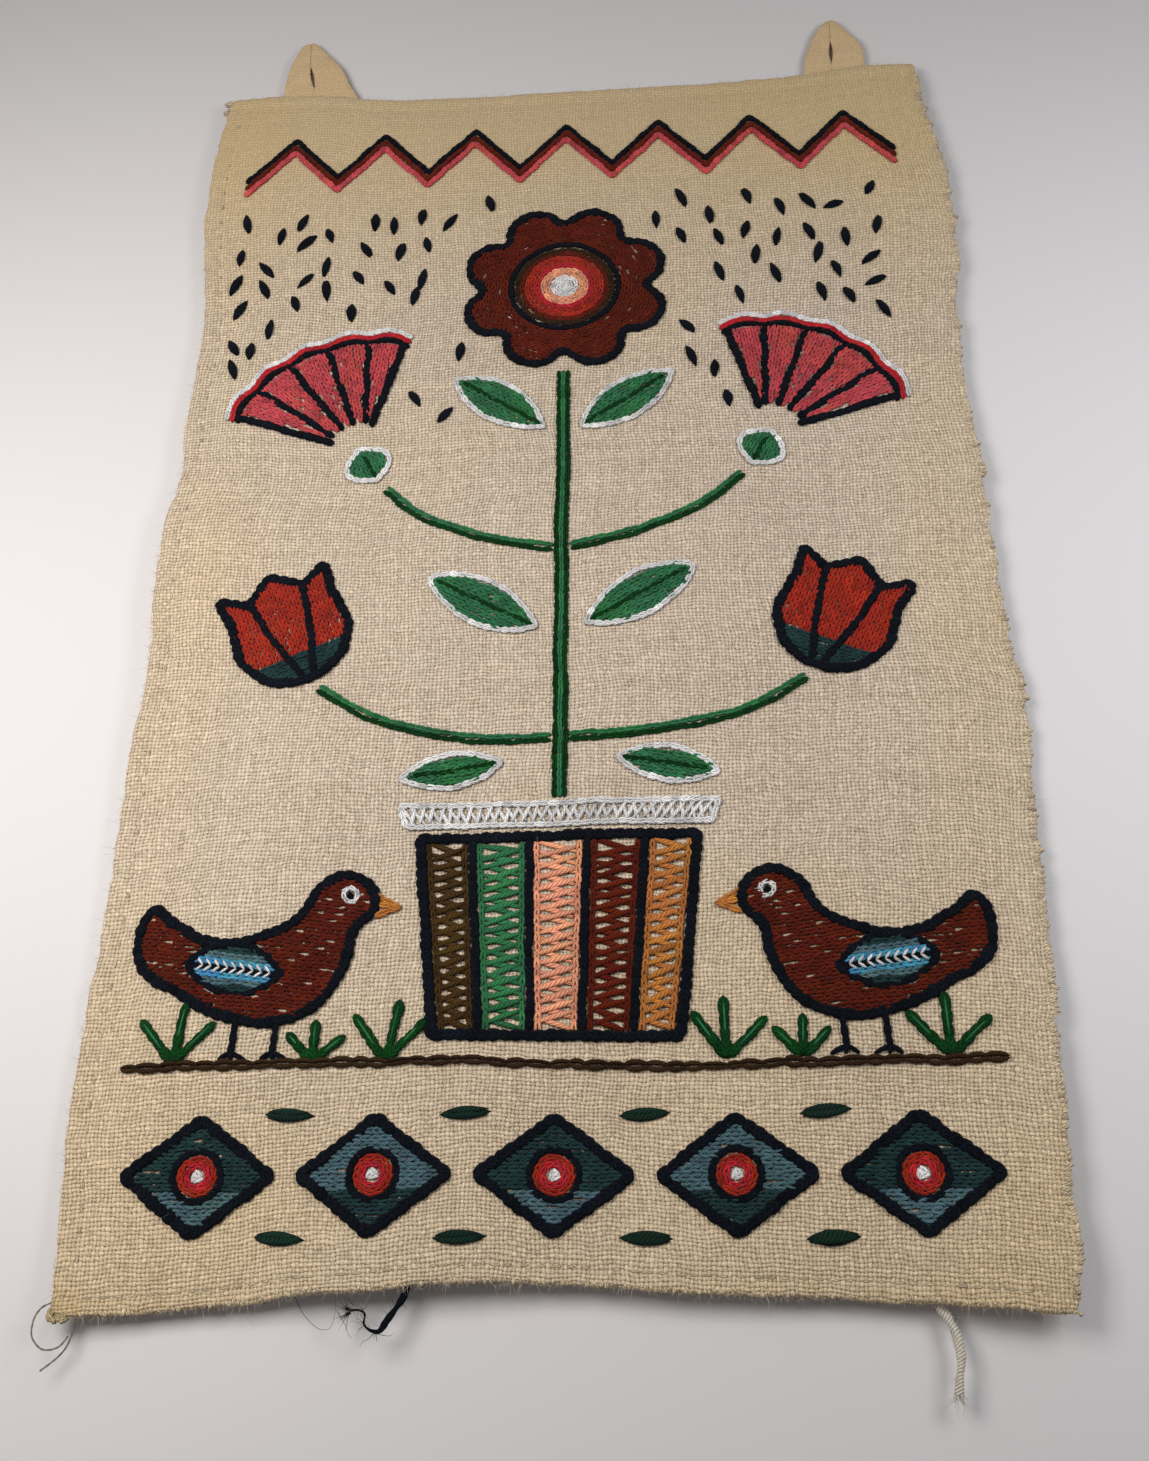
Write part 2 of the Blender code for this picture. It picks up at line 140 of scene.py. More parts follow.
# Thread ends: radius, the share of it left at the tip, slot and yarn, then the route as in the part's source,
# as (across, height, back from the cloth's middle)
THREADS = {
    "white": (1.7, 0.85, "wool_white", "worn_white", (
        (131.6, -577.0, 4.4), (132.6, -583.5, 4.4), (134.3, -590.2, 4.2), (136.4, -594.2, 3.7),
        (138.0, -598.4, 3.0), (139.0, -603.4, 2.3), (139.0, -608.4, 1.8), (137.9, -613.2, 1.7),
        (137.3, -618.4, 1.9))),
    "navy": (1.15, 0.3, "wool_black", "wool_black", (
        (-50.6, -577.0, 3.9), (-51.0, -582.5, 3.9), (-52.4, -587.4, 3.7), (-55.0, -591.6, 3.1),
        (-57.8, -595.6, 2.4), (-60.1, -598.9, 1.9), (-63.2, -598.7, 1.6), (-65.7, -596.6, 1.4),
        (-65.5, -593.4, 1.6), (-68.2, -592.0, 2.2), (-71.2, -592.2, 2.6))),
    "corner_curl": (0.3, 1.0, "wool_white", "worn_grey", (
        (-173.0, -588.0, 2.9), (-177.0, -588.4, 2.9), (-181.0, -589.6, 2.8), (-183.9, -591.6, 2.0),
        (-185.4, -595.6, 1.2), (-184.9, -601.0, 0.9), (-180.6, -605.0, 1.0), (-175.2, -604.3, 1.2),
        (-172.2, -600.6, 1.4))),
    "corner_end": (0.3, 1.0, "wool_white", "worn_grey", (
        (-168.6, -582.0, 2.9), (-169.2, -588.0, 2.9), (-170.6, -594.4, 3.2), (-171.8, -599.8, 3.8),
        (-173.6, -604.6, 4.0), (-176.8, -608.4, 3.6), (-181.0, -612.0, 2.6))),
}

# Where along its length a thread end thins, its points, and its twist: one turn in so many radii
THINNING = (0.45, 0.65)
THREAD_POINTS = 90
PLY_TURN = 17.0

# Long dark hairs, nine below the bottom edge and two at the right edge, as (across, height)
HAIRS = (
    ((-92.1, -586.8), (-90.7, -589.5), (-88.6, -592.8), (-85.9, -595.5), (-82.8, -597.8),
     (-80.3, -598.4), (-78.2, -597.8), (-77.0, -594.8), (-76.7, -591.2), (-77.0, -586.8)),
    ((-76.1, -592.1), (-74.1, -594.8), (-72.5, -597.1), (-71.6, -599.4), (-70.0, -601.4)),
    ((-72.7, -589.5), (-72.4, -593.1), (-72.0, -596.4), (-72.7, -598.7)),
    ((-72.4, -588.1), (-70.8, -589.8), (-68.6, -591.1), (-66.4, -591.5), (-65.1, -590.1)),
    ((-71.8, -591.8), (-69.3, -592.0), (-66.8, -591.8), (-65.4, -591.1)),
    ((-66.8, -591.8), (-65.9, -594.5), (-66.0, -597.1), (-67.8, -598.1)),
    ((-61.6, -599.1), (-63.3, -600.7), (-64.7, -601.7), (-66.0, -602.3), (-67.0, -604.0)),
    ((-62.0, -599.1), (-61.2, -600.7), (-61.1, -602.3)),
    ((-61.2, -599.7), (-59.1, -600.2), (-56.6, -600.4), (-55.2, -599.4)),
    ((183.4, -99.5), (186.6, -95.8), (188.4, -92.1)),
    ((185.0, -319.4), (187.7, -317.5), (189.2, -315.2)),
)
HAIR_POINTS = 24
HAIR_RADIUS = 0.13
HAIR_BACK = 3.2
# Below this height a hair keeps the wave that the cloth has there
FOOT_OF_WAVES = -585.0

# The hems' running stitches at the bottom and the left: the step between them, and how far from the edge
HEM_ROWS = ((5.4, 6.2), (9.2, 8.4))

# Threads at the cloth's edges: the step between turned threads, the share of them that stands out at the
# right and at the bottom, the frayed ends at the top left, and the knotted corner at the bottom left
TURN_STEP = 1.7
TURNED_SHARE = (0.8, 0.75)
FRAYED_ENDS = 14
KNOT_HEIGHT = -592.0
KNOT_ENDS = 44
KNOT_RADIUS = 3.0

# Yarn colours, linear red, green and blue
YARNS = {
    "wool_white": (0.800, 0.785, 0.765),
    "wool_black": (0.0045, 0.0062, 0.0105),
    "wool_rust": (0.118, 0.0125, 0.0045),
    "wool_rose": (0.585, 0.070, 0.088),
    "wool_orange": (0.395, 0.0225, 0.008),
    "wool_green": (0.034, 0.176, 0.074),
    "wool_teal": (0.017, 0.046, 0.050),
    "wool_blue": (0.085, 0.160, 0.190),
    "wool_brown": (0.065, 0.032, 0.009),
    "wool_dark_green": (0.004, 0.042, 0.009),
    "wool_pine": (0.009, 0.027, 0.019),
    "wool_sky": (0.065, 0.290, 0.560),
    "wool_ochre": (0.520, 0.180, 0.045),
    "wool_peach": (0.880, 0.360, 0.220),
    "wool_crimson": (0.530, 0.018, 0.030),
    "wool_umber": (0.040, 0.020, 0.009),
    "cotton_cream": (0.620, 0.495, 0.335),
    "old_cotton": (0.500, 0.385, 0.220),
    "worn_white": (0.640, 0.580, 0.480),
    # Grey-brown for the corner threads, darker than the white wool of their slot
    "worn_grey": (0.270, 0.235, 0.180),
}
CLOTH_COLOUR = (0.592, 0.490, 0.372)
WARM_CLOTH = (0.645, 0.482, 0.258)
LOOP_CLOTH = (0.745, 0.535, 0.295)
# Painted shade in the weave's gaps
GAP_SHADE_COLOUR = (0.270, 0.170, 0.085)
FLECK_COLOUR = (0.200, 0.140, 0.080)

# Where the cloth's look changes, in metres: up at its top, out at the right selvedge and at both sides, down
# in its lower part and at the bottom edge, and down and out at the rolled corner. At the top, in the lower
# part and at the bottom edge the change is partly painted light and shade
TOP_PART = (-0.17, -0.01)
SELVEDGE = (0.164, 0.182)
SIDE_PARTS = (0.125, 0.165)
LOWER_PART = (0.40, 0.56)
BOTTOM_PART = (0.578, 0.602)
ROLLED_CORNER = (0.752, 0.785)

# The few stitch shapes that all rows repeat: whether a mirrored second lobe makes a chain link, the segments
# round a lobe, and its slices. A slice is its place along, from 0 at the stitch's start to 1 at its end, its
# middle and half width across, where 1 is the stitch's side, and its middle and half height up, where 1 is
# the stitch's height
LOBES = {
    "link": (True, 6, (
        (-0.32, 0.06, 0, 0.42, 0), (-0.10, 0.24, 0.34, 0.46, 0.36), (0.24, 0.46, 0.50, 0.50, 0.46),
        (0.64, 0.50, 0.50, 0.52, 0.50), (1.02, 0.32, 0.40, 0.48, 0.42), (1.26, 0.12, 0, 0.38, 0))),
    "rope_link": (True, 6, (
        (-0.34, 0.04, 0, 0.42, 0), (-0.12, 0.26, 0.48, 0.46, 0.42), (0.24, 0.34, 0.62, 0.50, 0.48),
        (0.62, 0.36, 0.66, 0.52, 0.50), (1.04, 0.26, 0.46, 0.48, 0.44), (1.30, 0.08, 0, 0.38, 0))),
    "open_link": (True, 6, (
        (-0.14, 0.05, 0, 0.42, 0), (0.03, 0.34, 0.38, 0.46, 0.40), (0.30, 0.56, 0.44, 0.50, 0.46),
        (0.66, 0.56, 0.44, 0.52, 0.48), (0.96, 0.34, 0.38, 0.50, 0.44), (1.16, 0.10, 0, 0.40, 0))),
    "fine_link": (True, 5, (
        (-0.30, 0.06, 0, 0.36, 0), (-0.02, 0.22, 0.36, 0.44, 0.40), (0.48, 0.44, 0.46, 0.54, 0.50),
        (1.00, 0.56, 0.42, 0.46, 0.44), (1.24, 0.56, 0, 0.32, 0))),
    "eye_link": (True, 5, (
        (-0.26, 0.10, 0, 0.40, 0), (0.06, 0.54, 0.36, 0.44, 0.40), (0.50, 0.72, 0.42, 0.50, 0.48),
        (0.92, 0.54, 0.40, 0.46, 0.44), (1.24, 0.14, 0, 0.38, 0))),
    "strand": (False, 6, (
        (-0.04, 0, 0, 0.10, 0), (0.04, 0, 0.62, 0.34, 0.36), (0.32, 0, 1.0, 0.54, 0.48),
        (0.68, 0, 1.0, 0.54, 0.48), (0.96, 0, 0.62, 0.34, 0.36), (1.04, 0, 0, 0.10, 0))),
    "seed": (False, 6, (
        (-0.04, 0, 0, 0.10, 0), (0.08, 0, 0.46, 0.36, 0.38), (0.36, 0, 1.0, 0.54, 0.48),
        (0.64, 0, 0.92, 0.54, 0.48), (0.90, 0, 0.44, 0.36, 0.38), (1.04, 0, 0, 0.10, 0))),
    "under": (False, 4, (
        (0.0, 0, 0, 0.0, 0), (0.16, 0, 0.9, 0.42, 0.46), (0.84, 0, 0.9, 0.42, 0.46), (1.0, 0, 0, 0.0, 0))),
}

# The short stitches on the cloth's back: their greatest width, and their height
UNDER_WIDTH = 1.6
UNDER_HEIGHT = 0.55

# Stitches: the modelled shape, then length, width and height
Stitch = namedtuple("Stitch", "shape length width height")
HEAVY = Stitch("open_link", 7.4, 4.6, 2.2)
BOLD = Stitch("rope_link", 4.2, 4.8, 2.1)
DIVIDER = Stitch("rope_link", 4.0, 3.8, 2.0)
MIDDLE = Stitch("rope_link", 3.6, 3.2, 1.8)
BORDER = Stitch("link", 3.8, 2.9, 1.8)
FINE = Stitch("fine_link", 3.4, 3.5, 1.7)
EYED = Stitch("eye_link", 3.4, 3.5, 1.6)
RING = Stitch("fine_link", 3.2, 2.95, 1.5)
BAR = Stitch("strand", 4.0, 2.5, 1.5)
TURNING = Stitch("strand", 3.0, 1.7, 1.4)
SATIN = Stitch("seed", 6.0, 3.0, 1.8)
BROAD = Stitch("seed", 6.0, 5.2, 1.7)
SEED = Stitch("seed", 7.0, 4.3, 1.8)
SLIM_SEED = Stitch("seed", 7.0, 2.6, 1.7)
HEM_BAR = Stitch("strand", 3.2, 1.0, 0.22)
STEM = Stitch("link", 3.8, 2.5, 1.6)
BRANCH = Stitch("link", 3.8, 2.6, 1.6)
VEIN = Stitch("link", 3.6, 2.2, 1.2)
SECOND_BORDER = Stitch("link", 3.8, 2.9, 1.7)
FAN_SIDE = Stitch("rope_link", 4.4, 4.2, 2.1)
STRIPE_EDGE = Stitch("fine_link", 3.5, 2.8, 1.5)
RIM_BAR = Stitch("strand", 4.0, 1.7, 1.3)
BEAK = Stitch("link", 4.2, 2.9, 1.7)
EYE_RING = Stitch("fine_link", 2.6, 2.2, 1.9)
PUPIL = Stitch("fine_link", 2.2, 2.0, 2.0)
WING_FLECK = Stitch("strand", 3.4, 1.1, 1.0)
LEG = Stitch("rope_link", 3.9, 2.8, 1.8)
TOE = Stitch("strand", 4.0, 1.9, 1.6)
GRASS_BLADE = Stitch("rope_link", 4.8, 4.1, 2.0)
# A lighter green strand along a grass blade: painted highlight
GRASS_HIGHLIGHT_STRAND = Stitch("strand", 4.0, 0.9, 0.8)
ROW_STEP = 2.9
STITCH_SCATTER = 0.20
TWIST_LENGTH = 3.5

# A row of stitches: the stitch, its yarn, where each starts and ends, how far it lies above the cloth, and
# how wide each is compared to the whole stitch
Row = namedtuple("Row", "stitch yarn starts ends lift share")

# Motifs on both sides of the plant: the side's name, and whether it is the mirror image
SIDES = (("left", True), ("right", False))

# Motifs' places, (across, height) and the turn in degrees; a leaf has its length and width first
ROSETTE = (0, -132)
FAN = (92, -224, 62)
FAN_CUP = (84, -240, 62)
TULIP = (106, -342, 66)
LEAVES = {
    "top": ((56, 23), (7, -216, 36)),
    "middle": ((58, 24), (9, -318, 28)),
    "low": ((46, 18), (22, -380, -10)),
}
BRANCHES = {"upper": ((4.6, -278), (34, -272), (62, -260), (80, -244)),
            "lower": ((4.6, -370), (38, -369), (76, -361), (102, -346))}
BIRD = (-118, -505, 0)
BIRD_BODY = ((-50, 52), (-47, 37), (-31, 27), (-12, 17), (10, 14), (28, 22), (37, 38), (40, 52), (48, 60),
             (46, 71), (35, 77), (23, 72), (15, 58), (1, 51), (-16, 49), (-32, 57), (-44, 65))
BIRD_EYE = (36.0, 66.5)
BIRD_WING = (13, 34, 172)

# The wing's colours by distance from its middle line
WING_BANDS = ((1.5, "wool_black"), (4.4, "wool_sky"), (7.0, "wool_blue"), (99.0, "wool_teal"))

# Seeds: the steps across and down, how far each strays, and how far all keep from the stem and other motifs
SEED_STEPS = (15.6, 19.0)
SEED_SCATTER = 4.6
STEM_CLEAR = 12.0
MOTIF_CLEAR = 7.5

# Stray fibres: the points along each, and how many stand at the cloth's edges, with the left, right, top and
# bottom edge's shares of them, on the wool and at each thread's tip
FIBRE_POINTS = 4
FIBRE_RADIUS = 0.085
EDGE_FIBRES = 4200
SIDE_SHARES = (0.27, 0.43, 0.13, 0.17)
WOOL_FIBRES = 3600
TIP_FIBRES = 60


def make_camera():
    """The camera, where the photograph's camera stood relative to the cloth."""
    data = bpy.data.cameras.new("camera")
    data.lens = CAMERA_LENS
    data.sensor_width = 36.0
    data.clip_start = 0.01
    data.clip_end = 30.0
    camera = bpy.data.objects.new("camera", data)
    bpy.context.scene.collection.objects.link(camera)
    turned = Matrix((CAMERA_RIGHT, CAMERA_UP, CAMERA_BACK)).transposed().to_4x4()
    camera.matrix_world = Matrix.Translation(CAMERA_PLACE) @ turned
    bpy.context.scene.camera = camera


def make_lamp(name, place, aim, size, power, colour):
    """A soft square lamp."""
    data = bpy.data.lights.new(name, "AREA")
    data.size = size
    data.energy = power
    data.color = colour
    lamp = bpy.data.objects.new(name, data)
    bpy.context.scene.collection.objects.link(lamp)
    lamp.location = place
    lamp.rotation_mode = "QUATERNION"
    lamp.rotation_quaternion = (Vector(aim) - Vector(place)).to_track_quat("-Z", "Y")
    lamp.visible_camera = False


class Wire:
    """The output of a node. Arithmetic on it adds Math nodes to its material."""

    def __init__(self, board, socket):
        self.board = board
        self.socket = socket

    def __add__(self, other):
        return self.board.maths("ADD", self, other)

    def __radd__(self, other):
        return self.board.maths("ADD", other, self)

    def __sub__(self, other):
        return self.board.maths("SUBTRACT", self, other)

    def __rsub__(self, other):
        return self.board.maths("SUBTRACT", other, self)

    def __mul__(self, other):
        return self.board.maths("MULTIPLY", self, other)

    def __rmul__(self, other):
        return self.board.maths("MULTIPLY", other, self)

    def __truediv__(self, other):
        return self.board.maths("DIVIDE", self, other)


class Board:
    """The nodes of one material."""

    def __init__(self, name, roughness, sheen=0.0, specular=0.2):
        self.material = bpy.data.materials.new(name)
        self.material.use_nodes = True
        self.tree = self.material.node_tree
        self.shader = self.tree.nodes["Principled BSDF"]
        self.plug(self.shader.inputs["Roughness"], roughness)
        self.plug(self.shader.inputs["Specular IOR Level"], specular)
        self.plug(self.shader.inputs["Sheen Weight"], sheen)
        self.plug(self.shader.inputs["Sheen Roughness"], 0.5)

    def plug(self, socket, value):
        """Links a wire to a socket, or sets the socket to a value. A colour is made opaque."""
        if isinstance(value, Wire):
            self.tree.links.new(value.socket, socket)
        else:
            socket.default_value = (*value, 1.0) if socket.type == "RGBA" else value

    def node(self, kind, settings, values, output=0):
        """Adds a node of a kind, with its settings and its sockets' values or links, and gives one output."""
        made = self.tree.nodes.new(kind)
        for name, value in settings.items():
            setattr(made, name, value)
        for name, value in values.items():
            self.plug(made.inputs[name], value)
        return Wire(self, made.outputs[output])

    def maths(self, operation, *values):
        return self.node("ShaderNodeMath", {"operation": operation}, dict(enumerate(values)))

    def mix(self, share, first, second, blend="MIX"):
        """A colour between two others, or a colour multiplied by another."""
        settings = {"data_type": "RGBA", "blend_type": blend}
        return self.node("ShaderNodeMix", settings, {0: share, 6: first, 7: second}, 2)

    def ramp(self, value, low, high):
        """0 at a low value, 1 at a high one, and an eased climb between them."""
        settings = {"interpolation_type": "SMOOTHSTEP"}
        return self.node("ShaderNodeMapRange", settings, {"Value": value, "From Min": low, "From Max": high})

    def noise(self, place, scale, detail=2.0):
        return self.node("ShaderNodeTexNoise", {}, {"Vector": place, "Scale": scale, "Detail": detail}, "Fac")

    def chance(self, x, y):
        """A random value from 0 to 1 for each pair of whole numbers."""
        place = self.point(x, y)
        return self.node("ShaderNodeTexWhiteNoise", {"noise_dimensions": "2D"}, {"Vector": place}, "Value")

    def point(self, x, y, z=0.0):
        return self.node("ShaderNodeCombineXYZ", {}, {"X": x, "Y": y, "Z": z})

    def apart(self, vector, first="X", second="Y"):
        """Two of a vector's numbers."""
        outputs = self.node("ShaderNodeSeparateXYZ", {}, {"Vector": vector}).socket.node.outputs
        return Wire(self, outputs[first]), Wire(self, outputs[second])

    def apart_light(self):
        """Whether a ray asks for a lamp's light, and how often the light has bounced."""
        outputs = self.node("ShaderNodeLightPath", {}, {}).socket.node.outputs
        return Wire(self, outputs["Is Shadow Ray"]), Wire(self, outputs["Diffuse Depth"])

    def map_place(self, name):
        """The piece's place on one of its own UV maps."""
        return self.node("ShaderNodeUVMap", {"uv_map": name}, {})

    def object_place(self):
        return self.node("ShaderNodeTexCoord", {}, {}, "Object")

    def attribute(self, name):
        return self.node("ShaderNodeAttribute", {"attribute_name": name}, {}, "Fac")

    def finish(self, colour, height=None, depth=0.0):
        """Gives the shader its colour, and its bump from a height map of a depth in metres."""
        self.plug(self.shader.inputs["Base Color"], colour)
        if height:
            values = {"Strength": 1.0, "Distance": depth, "Height": height}
            self.plug(self.shader.inputs["Normal"], self.node("ShaderNodeBump", {}, values))
        return self.material


def cloth_material(name, step, colour, warm, unevenness=1.0):
    """Hand-woven plain weave: threads over and under each other, thick and thin, with painted shade in the
    gaps between them and where each dips under the next, and a painted highlight on each crown.
    The step is from one thread to the next in millimetres, and noise scales are per metre or per thread."""
    board = Board(name, 0.95, 0.08)
    place = board.map_place("cloth_way")
    u, v = board.apart(place)
    moved = board.node("ShaderNodeVectorMath", {"operation": "ADD"}, {0: place, 1: (3.1, 1.7, 0.0)})

    def drift(at, scale):
        return ((board.noise(at, scale) - 0.5) * 3.2 + (board.noise(at, 140.0) - 0.5) * 1.3) * unevenness

    across = u / (step * MM) + drift(place, 26.0)
    down = v / (step * MM) + drift(moved, 30.0)
    column = board.maths("ROUND", across)
    row = board.maths("ROUND", down)
    crossing = board.chance(column + 0.5, row)
    corner = board.chance(board.maths("FLOOR", across), board.maths("FLOOR", down) + 91.5)
    upright = board.maths("COSINE", across * pi)
    level = board.maths("COSINE", down * pi)
    column_chance = board.chance(column, 7.5)
    row_chance = board.chance(row, 517.5)
    column_slub = board.noise(board.point(column * 7.31, down * 0.13), 1.0, 1.0)
    row_slub = board.noise(board.point(across * 0.13, row * 7.31, 5.0), 1.0, 1.0)
    x, z = board.apart(board.object_place(), "X", "Z")
    top = board.ramp(z, *TOP_PART)
    # The warp lies closer along the selvedge at the right
    selvedge = board.ramp(x, *SELVEDGE)
    column_full = 0.30 + 0.22 * column_chance + 0.52 * column_slub + 0.16 * top + 0.30 * selvedge
    row_full = 0.38 + 0.22 * row_chance + 0.52 * row_slub - 0.12 * top
    lift = 0.30 + 0.20 * crossing
    warp = board.maths("SIGN", upright) * level * lift + board.maths("ABSOLUTE", upright) * column_full
    weft = board.maths("ABSOLUTE", level) * row_full - board.maths("SIGN", level) * upright * lift
    height = board.maths("SMOOTH_MAX", warp, weft, 0.10)
    on_top = board.ramp(warp - weft, -0.05, 0.05)
    shade = row_chance + on_top * (column_chance - row_chance)
    slub = row_slub + on_top * (column_slub - row_slub)
    # Painted light: 0 where a thread dips under the next, 1 on its crown
    painted_crown_light = board.ramp(board.maths("ABSOLUTE", warp - weft), 0.0, 0.42)
    # Where the painted shade of a gap shows
    gap = board.ramp(height, corner * 0.24 - 0.04, corner * 0.40 + 0.50)
    along_warp = board.noise(board.point(across * 4.2, down * 1.1, 2.0), 1.0, 3.0)
    along_weft = board.noise(board.point(across * 1.1, down * 4.2, 6.0), 1.0, 3.0)
    fibres = along_weft + on_top * (along_warp - along_weft)
    blotches = board.noise(place, 9.0, 3.0)
    thread_value = 0.79 + 0.18 * shade + 0.12 * slub + 0.26 * crossing
    # The thread's colour carries painted shade at its dips and a painted highlight on its crown
    value = thread_value * (0.56 + 0.88 * fibres) * (0.95 + 0.10 * blotches) * (0.68 + 0.43 * painted_crown_light)
    # Flatter near the top, and a little darker there: painted shade, where less light falls at the top
    value = value + (0.92 - value) * (0.62 * top)
    # Yellower near the top, in the lower part and at the bottom edge, partly the cloth's own yellowing and
    # partly painted light, as a cooler light falls on the middle; yellower at the side edges and in soft
    # patches, the cloth's own tone; darkest in the rolled corner
    rolled = board.ramp(0.0 - x - z, *ROLLED_CORNER)
    bottom = board.ramp(0.0 - z, *BOTTOM_PART)
    yellowing_and_painted_light = top * 0.85 + board.ramp(board.maths("ABSOLUTE", x), *SIDE_PARTS) * 0.18
    yellowing_and_painted_light = yellowing_and_painted_light + board.ramp(0.0 - z, *LOWER_PART) * 0.34 + rolled + 0.25 * bottom
    yellowing_and_painted_light = board.maths("MINIMUM", yellowing_and_painted_light + board.ramp(board.noise(place, 5.0), 0.45, 0.75) * 0.35, 1.0)
    tint = board.mix(yellowing_and_painted_light, colour, warm)
    # Darker at the bottom edge: painted shade, where the edge falls away from the light. Darker also in the
    # rolled corner
    thread = board.mix(1.0, tint, value * (1.0 - 0.22 * rolled - 0.10 * bottom), "MULTIPLY")
    dashes = board.noise(board.point(across * 0.75, down * 1.7, 9.0), 1.0)
    flecked = board.mix(board.ramp(dashes, 0.66, 0.74) * 0.50, thread, FLECK_COLOUR)
    closed = 0.08 + 0.64 * top
    # Painted shade in the gaps between the threads
    colour_out = board.mix(closed + gap * (1.0 - closed), GAP_SHADE_COLOUR, flecked)
    return board.finish(colour_out, (height + 0.35 * fibres) * (1.0 - 0.40 * top), 0.38 * step * MM)


def yarn_material(name, colour):
    """Two-ply wool, twisted, with fibres of lighter and darker dye, painted shade in the grooves between its
    plies, and painted shade low down between its neighbours.
    """
    board = Board(name, 0.95, 0.02 + 0.08 * min(1.0, max(colour) * 3), 0.06)
    u, v = board.apart(board.map_place("yarn_way"))
    place = board.object_place()
    shade = board.attribute("shade")
    twist = 0.5 + 0.5 * board.maths("SINE", (u * 4.0 + v * 3.0) * (2 * pi))
    fibres = board.noise(place, 2300.0)
    heather = board.noise(place, 420.0)
    dye_lot = board.noise(place, 24.0)
    # Painted shade: darker low on each stitch, where its neighbours shade it
    height_for_painted_shade = board.ramp(board.attribute("height_for_painted_shade"), 0.0, 0.9)
    # The twist also darkens the grooves between the plies: painted shade, besides its bump
    value = (0.56 + 0.63 * twist) * (0.56 + 0.88 * fibres) * (0.84 + 0.32 * dye_lot) * (0.42 + 0.68 * height_for_painted_shade)
    # The dye shifts in hue from strand to strand
    depth = (1.0 - min(colour) / max(colour)) ** 2
    other = (colour[0], colour[1] * (1 + 0.25 * depth), colour[2] * (1 - 0.45 * depth))
    hue = board.ramp(board.noise(place, 42.0) + shade * 0.10, 0.42, 0.66)
    dyed = board.mix(hue * 0.55, colour, other)
    tinted = board.mix(1.0, dyed, value * (1.0 + 0.32 * shade), "MULTIPLY")
    pale = tuple(min(1.0, c * 1.5 + 0.006) for c in colour)
    mixed = board.mix(board.ramp(heather, 0.56, 0.76) * 0.30, tinted, pale)
    return board.finish(mixed, twist * 0.5 + fibres * 0.9, 0.00040)


def plain_material(name, colour, back_open):
    """A pale painted surface. With back_open it can't be seen from behind, and it doesn't keep the light of
    the lamps from what is seen there."""
    board = Board(name, 0.9)
    blotches = board.noise(board.object_place(), 1.6)
    board.finish(board.mix(blotches * 0.10, colour, tuple(0.9 * c for c in colour)))
    if back_open:
        clear = board.node("ShaderNodeBsdfTransparent", {}, {})
        behind = board.node("ShaderNodeNewGeometry", {}, {}, "Backfacing")
        light, bounces = board.apart_light()
        passing = light * board.maths("LESS_THAN", bounces, 0.5)
        open_share = board.maths("MAXIMUM", behind, passing)
        shown = Wire(board, board.shader.outputs[0])
        mixed = board.node("ShaderNodeMixShader", {}, {0: open_share, 1: shown, 2: clear})
        board.plug(board.tree.nodes["Material Output"].inputs["Surface"], mixed)
    return board.material


def smooth_step(value):
    """Eases from 0 to 1 while the values go from 0 to 1."""
    value = np.clip(value, 0.0, 1.0)
    return value * value * (3.0 - 2.0 * value)


def unit(vectors):
    """Vectors of length 1."""
    return vectors / np.linalg.norm(vectors, axis=-1, keepdims=True)


def leftward(vectors):
    """Vectors on the cloth, a quarter turn to the left."""
    return spots(-vectors[:, 1], vectors[:, 0])


def rays(reach, angles):
    """Places at a distance from 0, 0 in some directions."""
    return spots(reach * np.cos(angles), reach * np.sin(angles))


def spots(across, height):
    """Places on the cloth from where they lie across and up."""
    return np.column_stack((across, height))


def both_ends(middle, half):
    """The two ends of a straight stitch."""
    return middle - half, middle + half


def run_along(points):
    """How far along a line each of its points lies."""
    return np.concatenate(([0.0], np.cumsum(np.linalg.norm(np.diff(points, axis=0), axis=1))))


def read_edge(table, at):
    """The edge's positions at heights or across, on a smooth curve through the table's points."""
    rows = np.array(sorted(table), float)
    at = np.clip(at, rows[0, 0], rows[-1, 0])
    k = np.clip(np.searchsorted(rows[:, 0], at, side="right") - 1, 0, len(rows) - 2)
    before, start, end, after = (rows[np.clip(k + i, 0, len(rows) - 1)] for i in (-1, 0, 1, 2))
    gap = end[..., 0] - start[..., 0]
    t = (at - start[..., 0]) / gap
    leave = (end[..., 1] - before[..., 1]) / (end[..., 0] - before[..., 0]) * gap
    arrive = (after[..., 1] - start[..., 1]) / (after[..., 0] - start[..., 0]) * gap
    return ((2 * t**3 - 3 * t**2 + 1) * start[..., 1] + (t**3 - 2 * t**2 + t) * leave
            + (3 * t**2 - 2 * t**3) * end[..., 1] + (t**3 - t**2) * arrive)


def soft_noise(x, z, size, seed):
    """Smooth random values from -1 to 1, on a lattice of a given size that repeats after 97 steps."""
    cells = 97
    table = np.random.default_rng(seed).uniform(-1.0, 1.0, (cells, cells))
    x, z = np.broadcast_arrays(np.asarray(x, float) / size, np.asarray(z, float) / size)
    i, j = np.floor(x).astype(int), np.floor(z).astype(int)
    u, v = smooth_step(x - i), smooth_step(z - j)
    i0, i1, j0, j1 = i % cells, (i + 1) % cells, j % cells, (j + 1) % cells
    low = table[i0, j0] * (1 - u) + table[i1, j0] * u
    high = table[i0, j1] * (1 - u) + table[i1, j1] * u
    return low * (1 - v) + high * v


def wave(across, height):
    """How far the cloth stands off its mean plane, backwards, as in the part's source."""
    calm = smooth_step((-height - CALM_DEPTH) / (FULL_DEPTH - CALM_DEPTH))
    total = 0.0
    for size, wide, tall, phase in WAVES:
        total = total + size * np.sin(2 * pi * (across / wide + height / tall) + phase)
    foot = read_edge(BOTTOM_EDGE, across)
    return total * calm - FOOT_CURL * smooth_step(1.0 - (height - foot) / FOOT_CURL_HEIGHT)


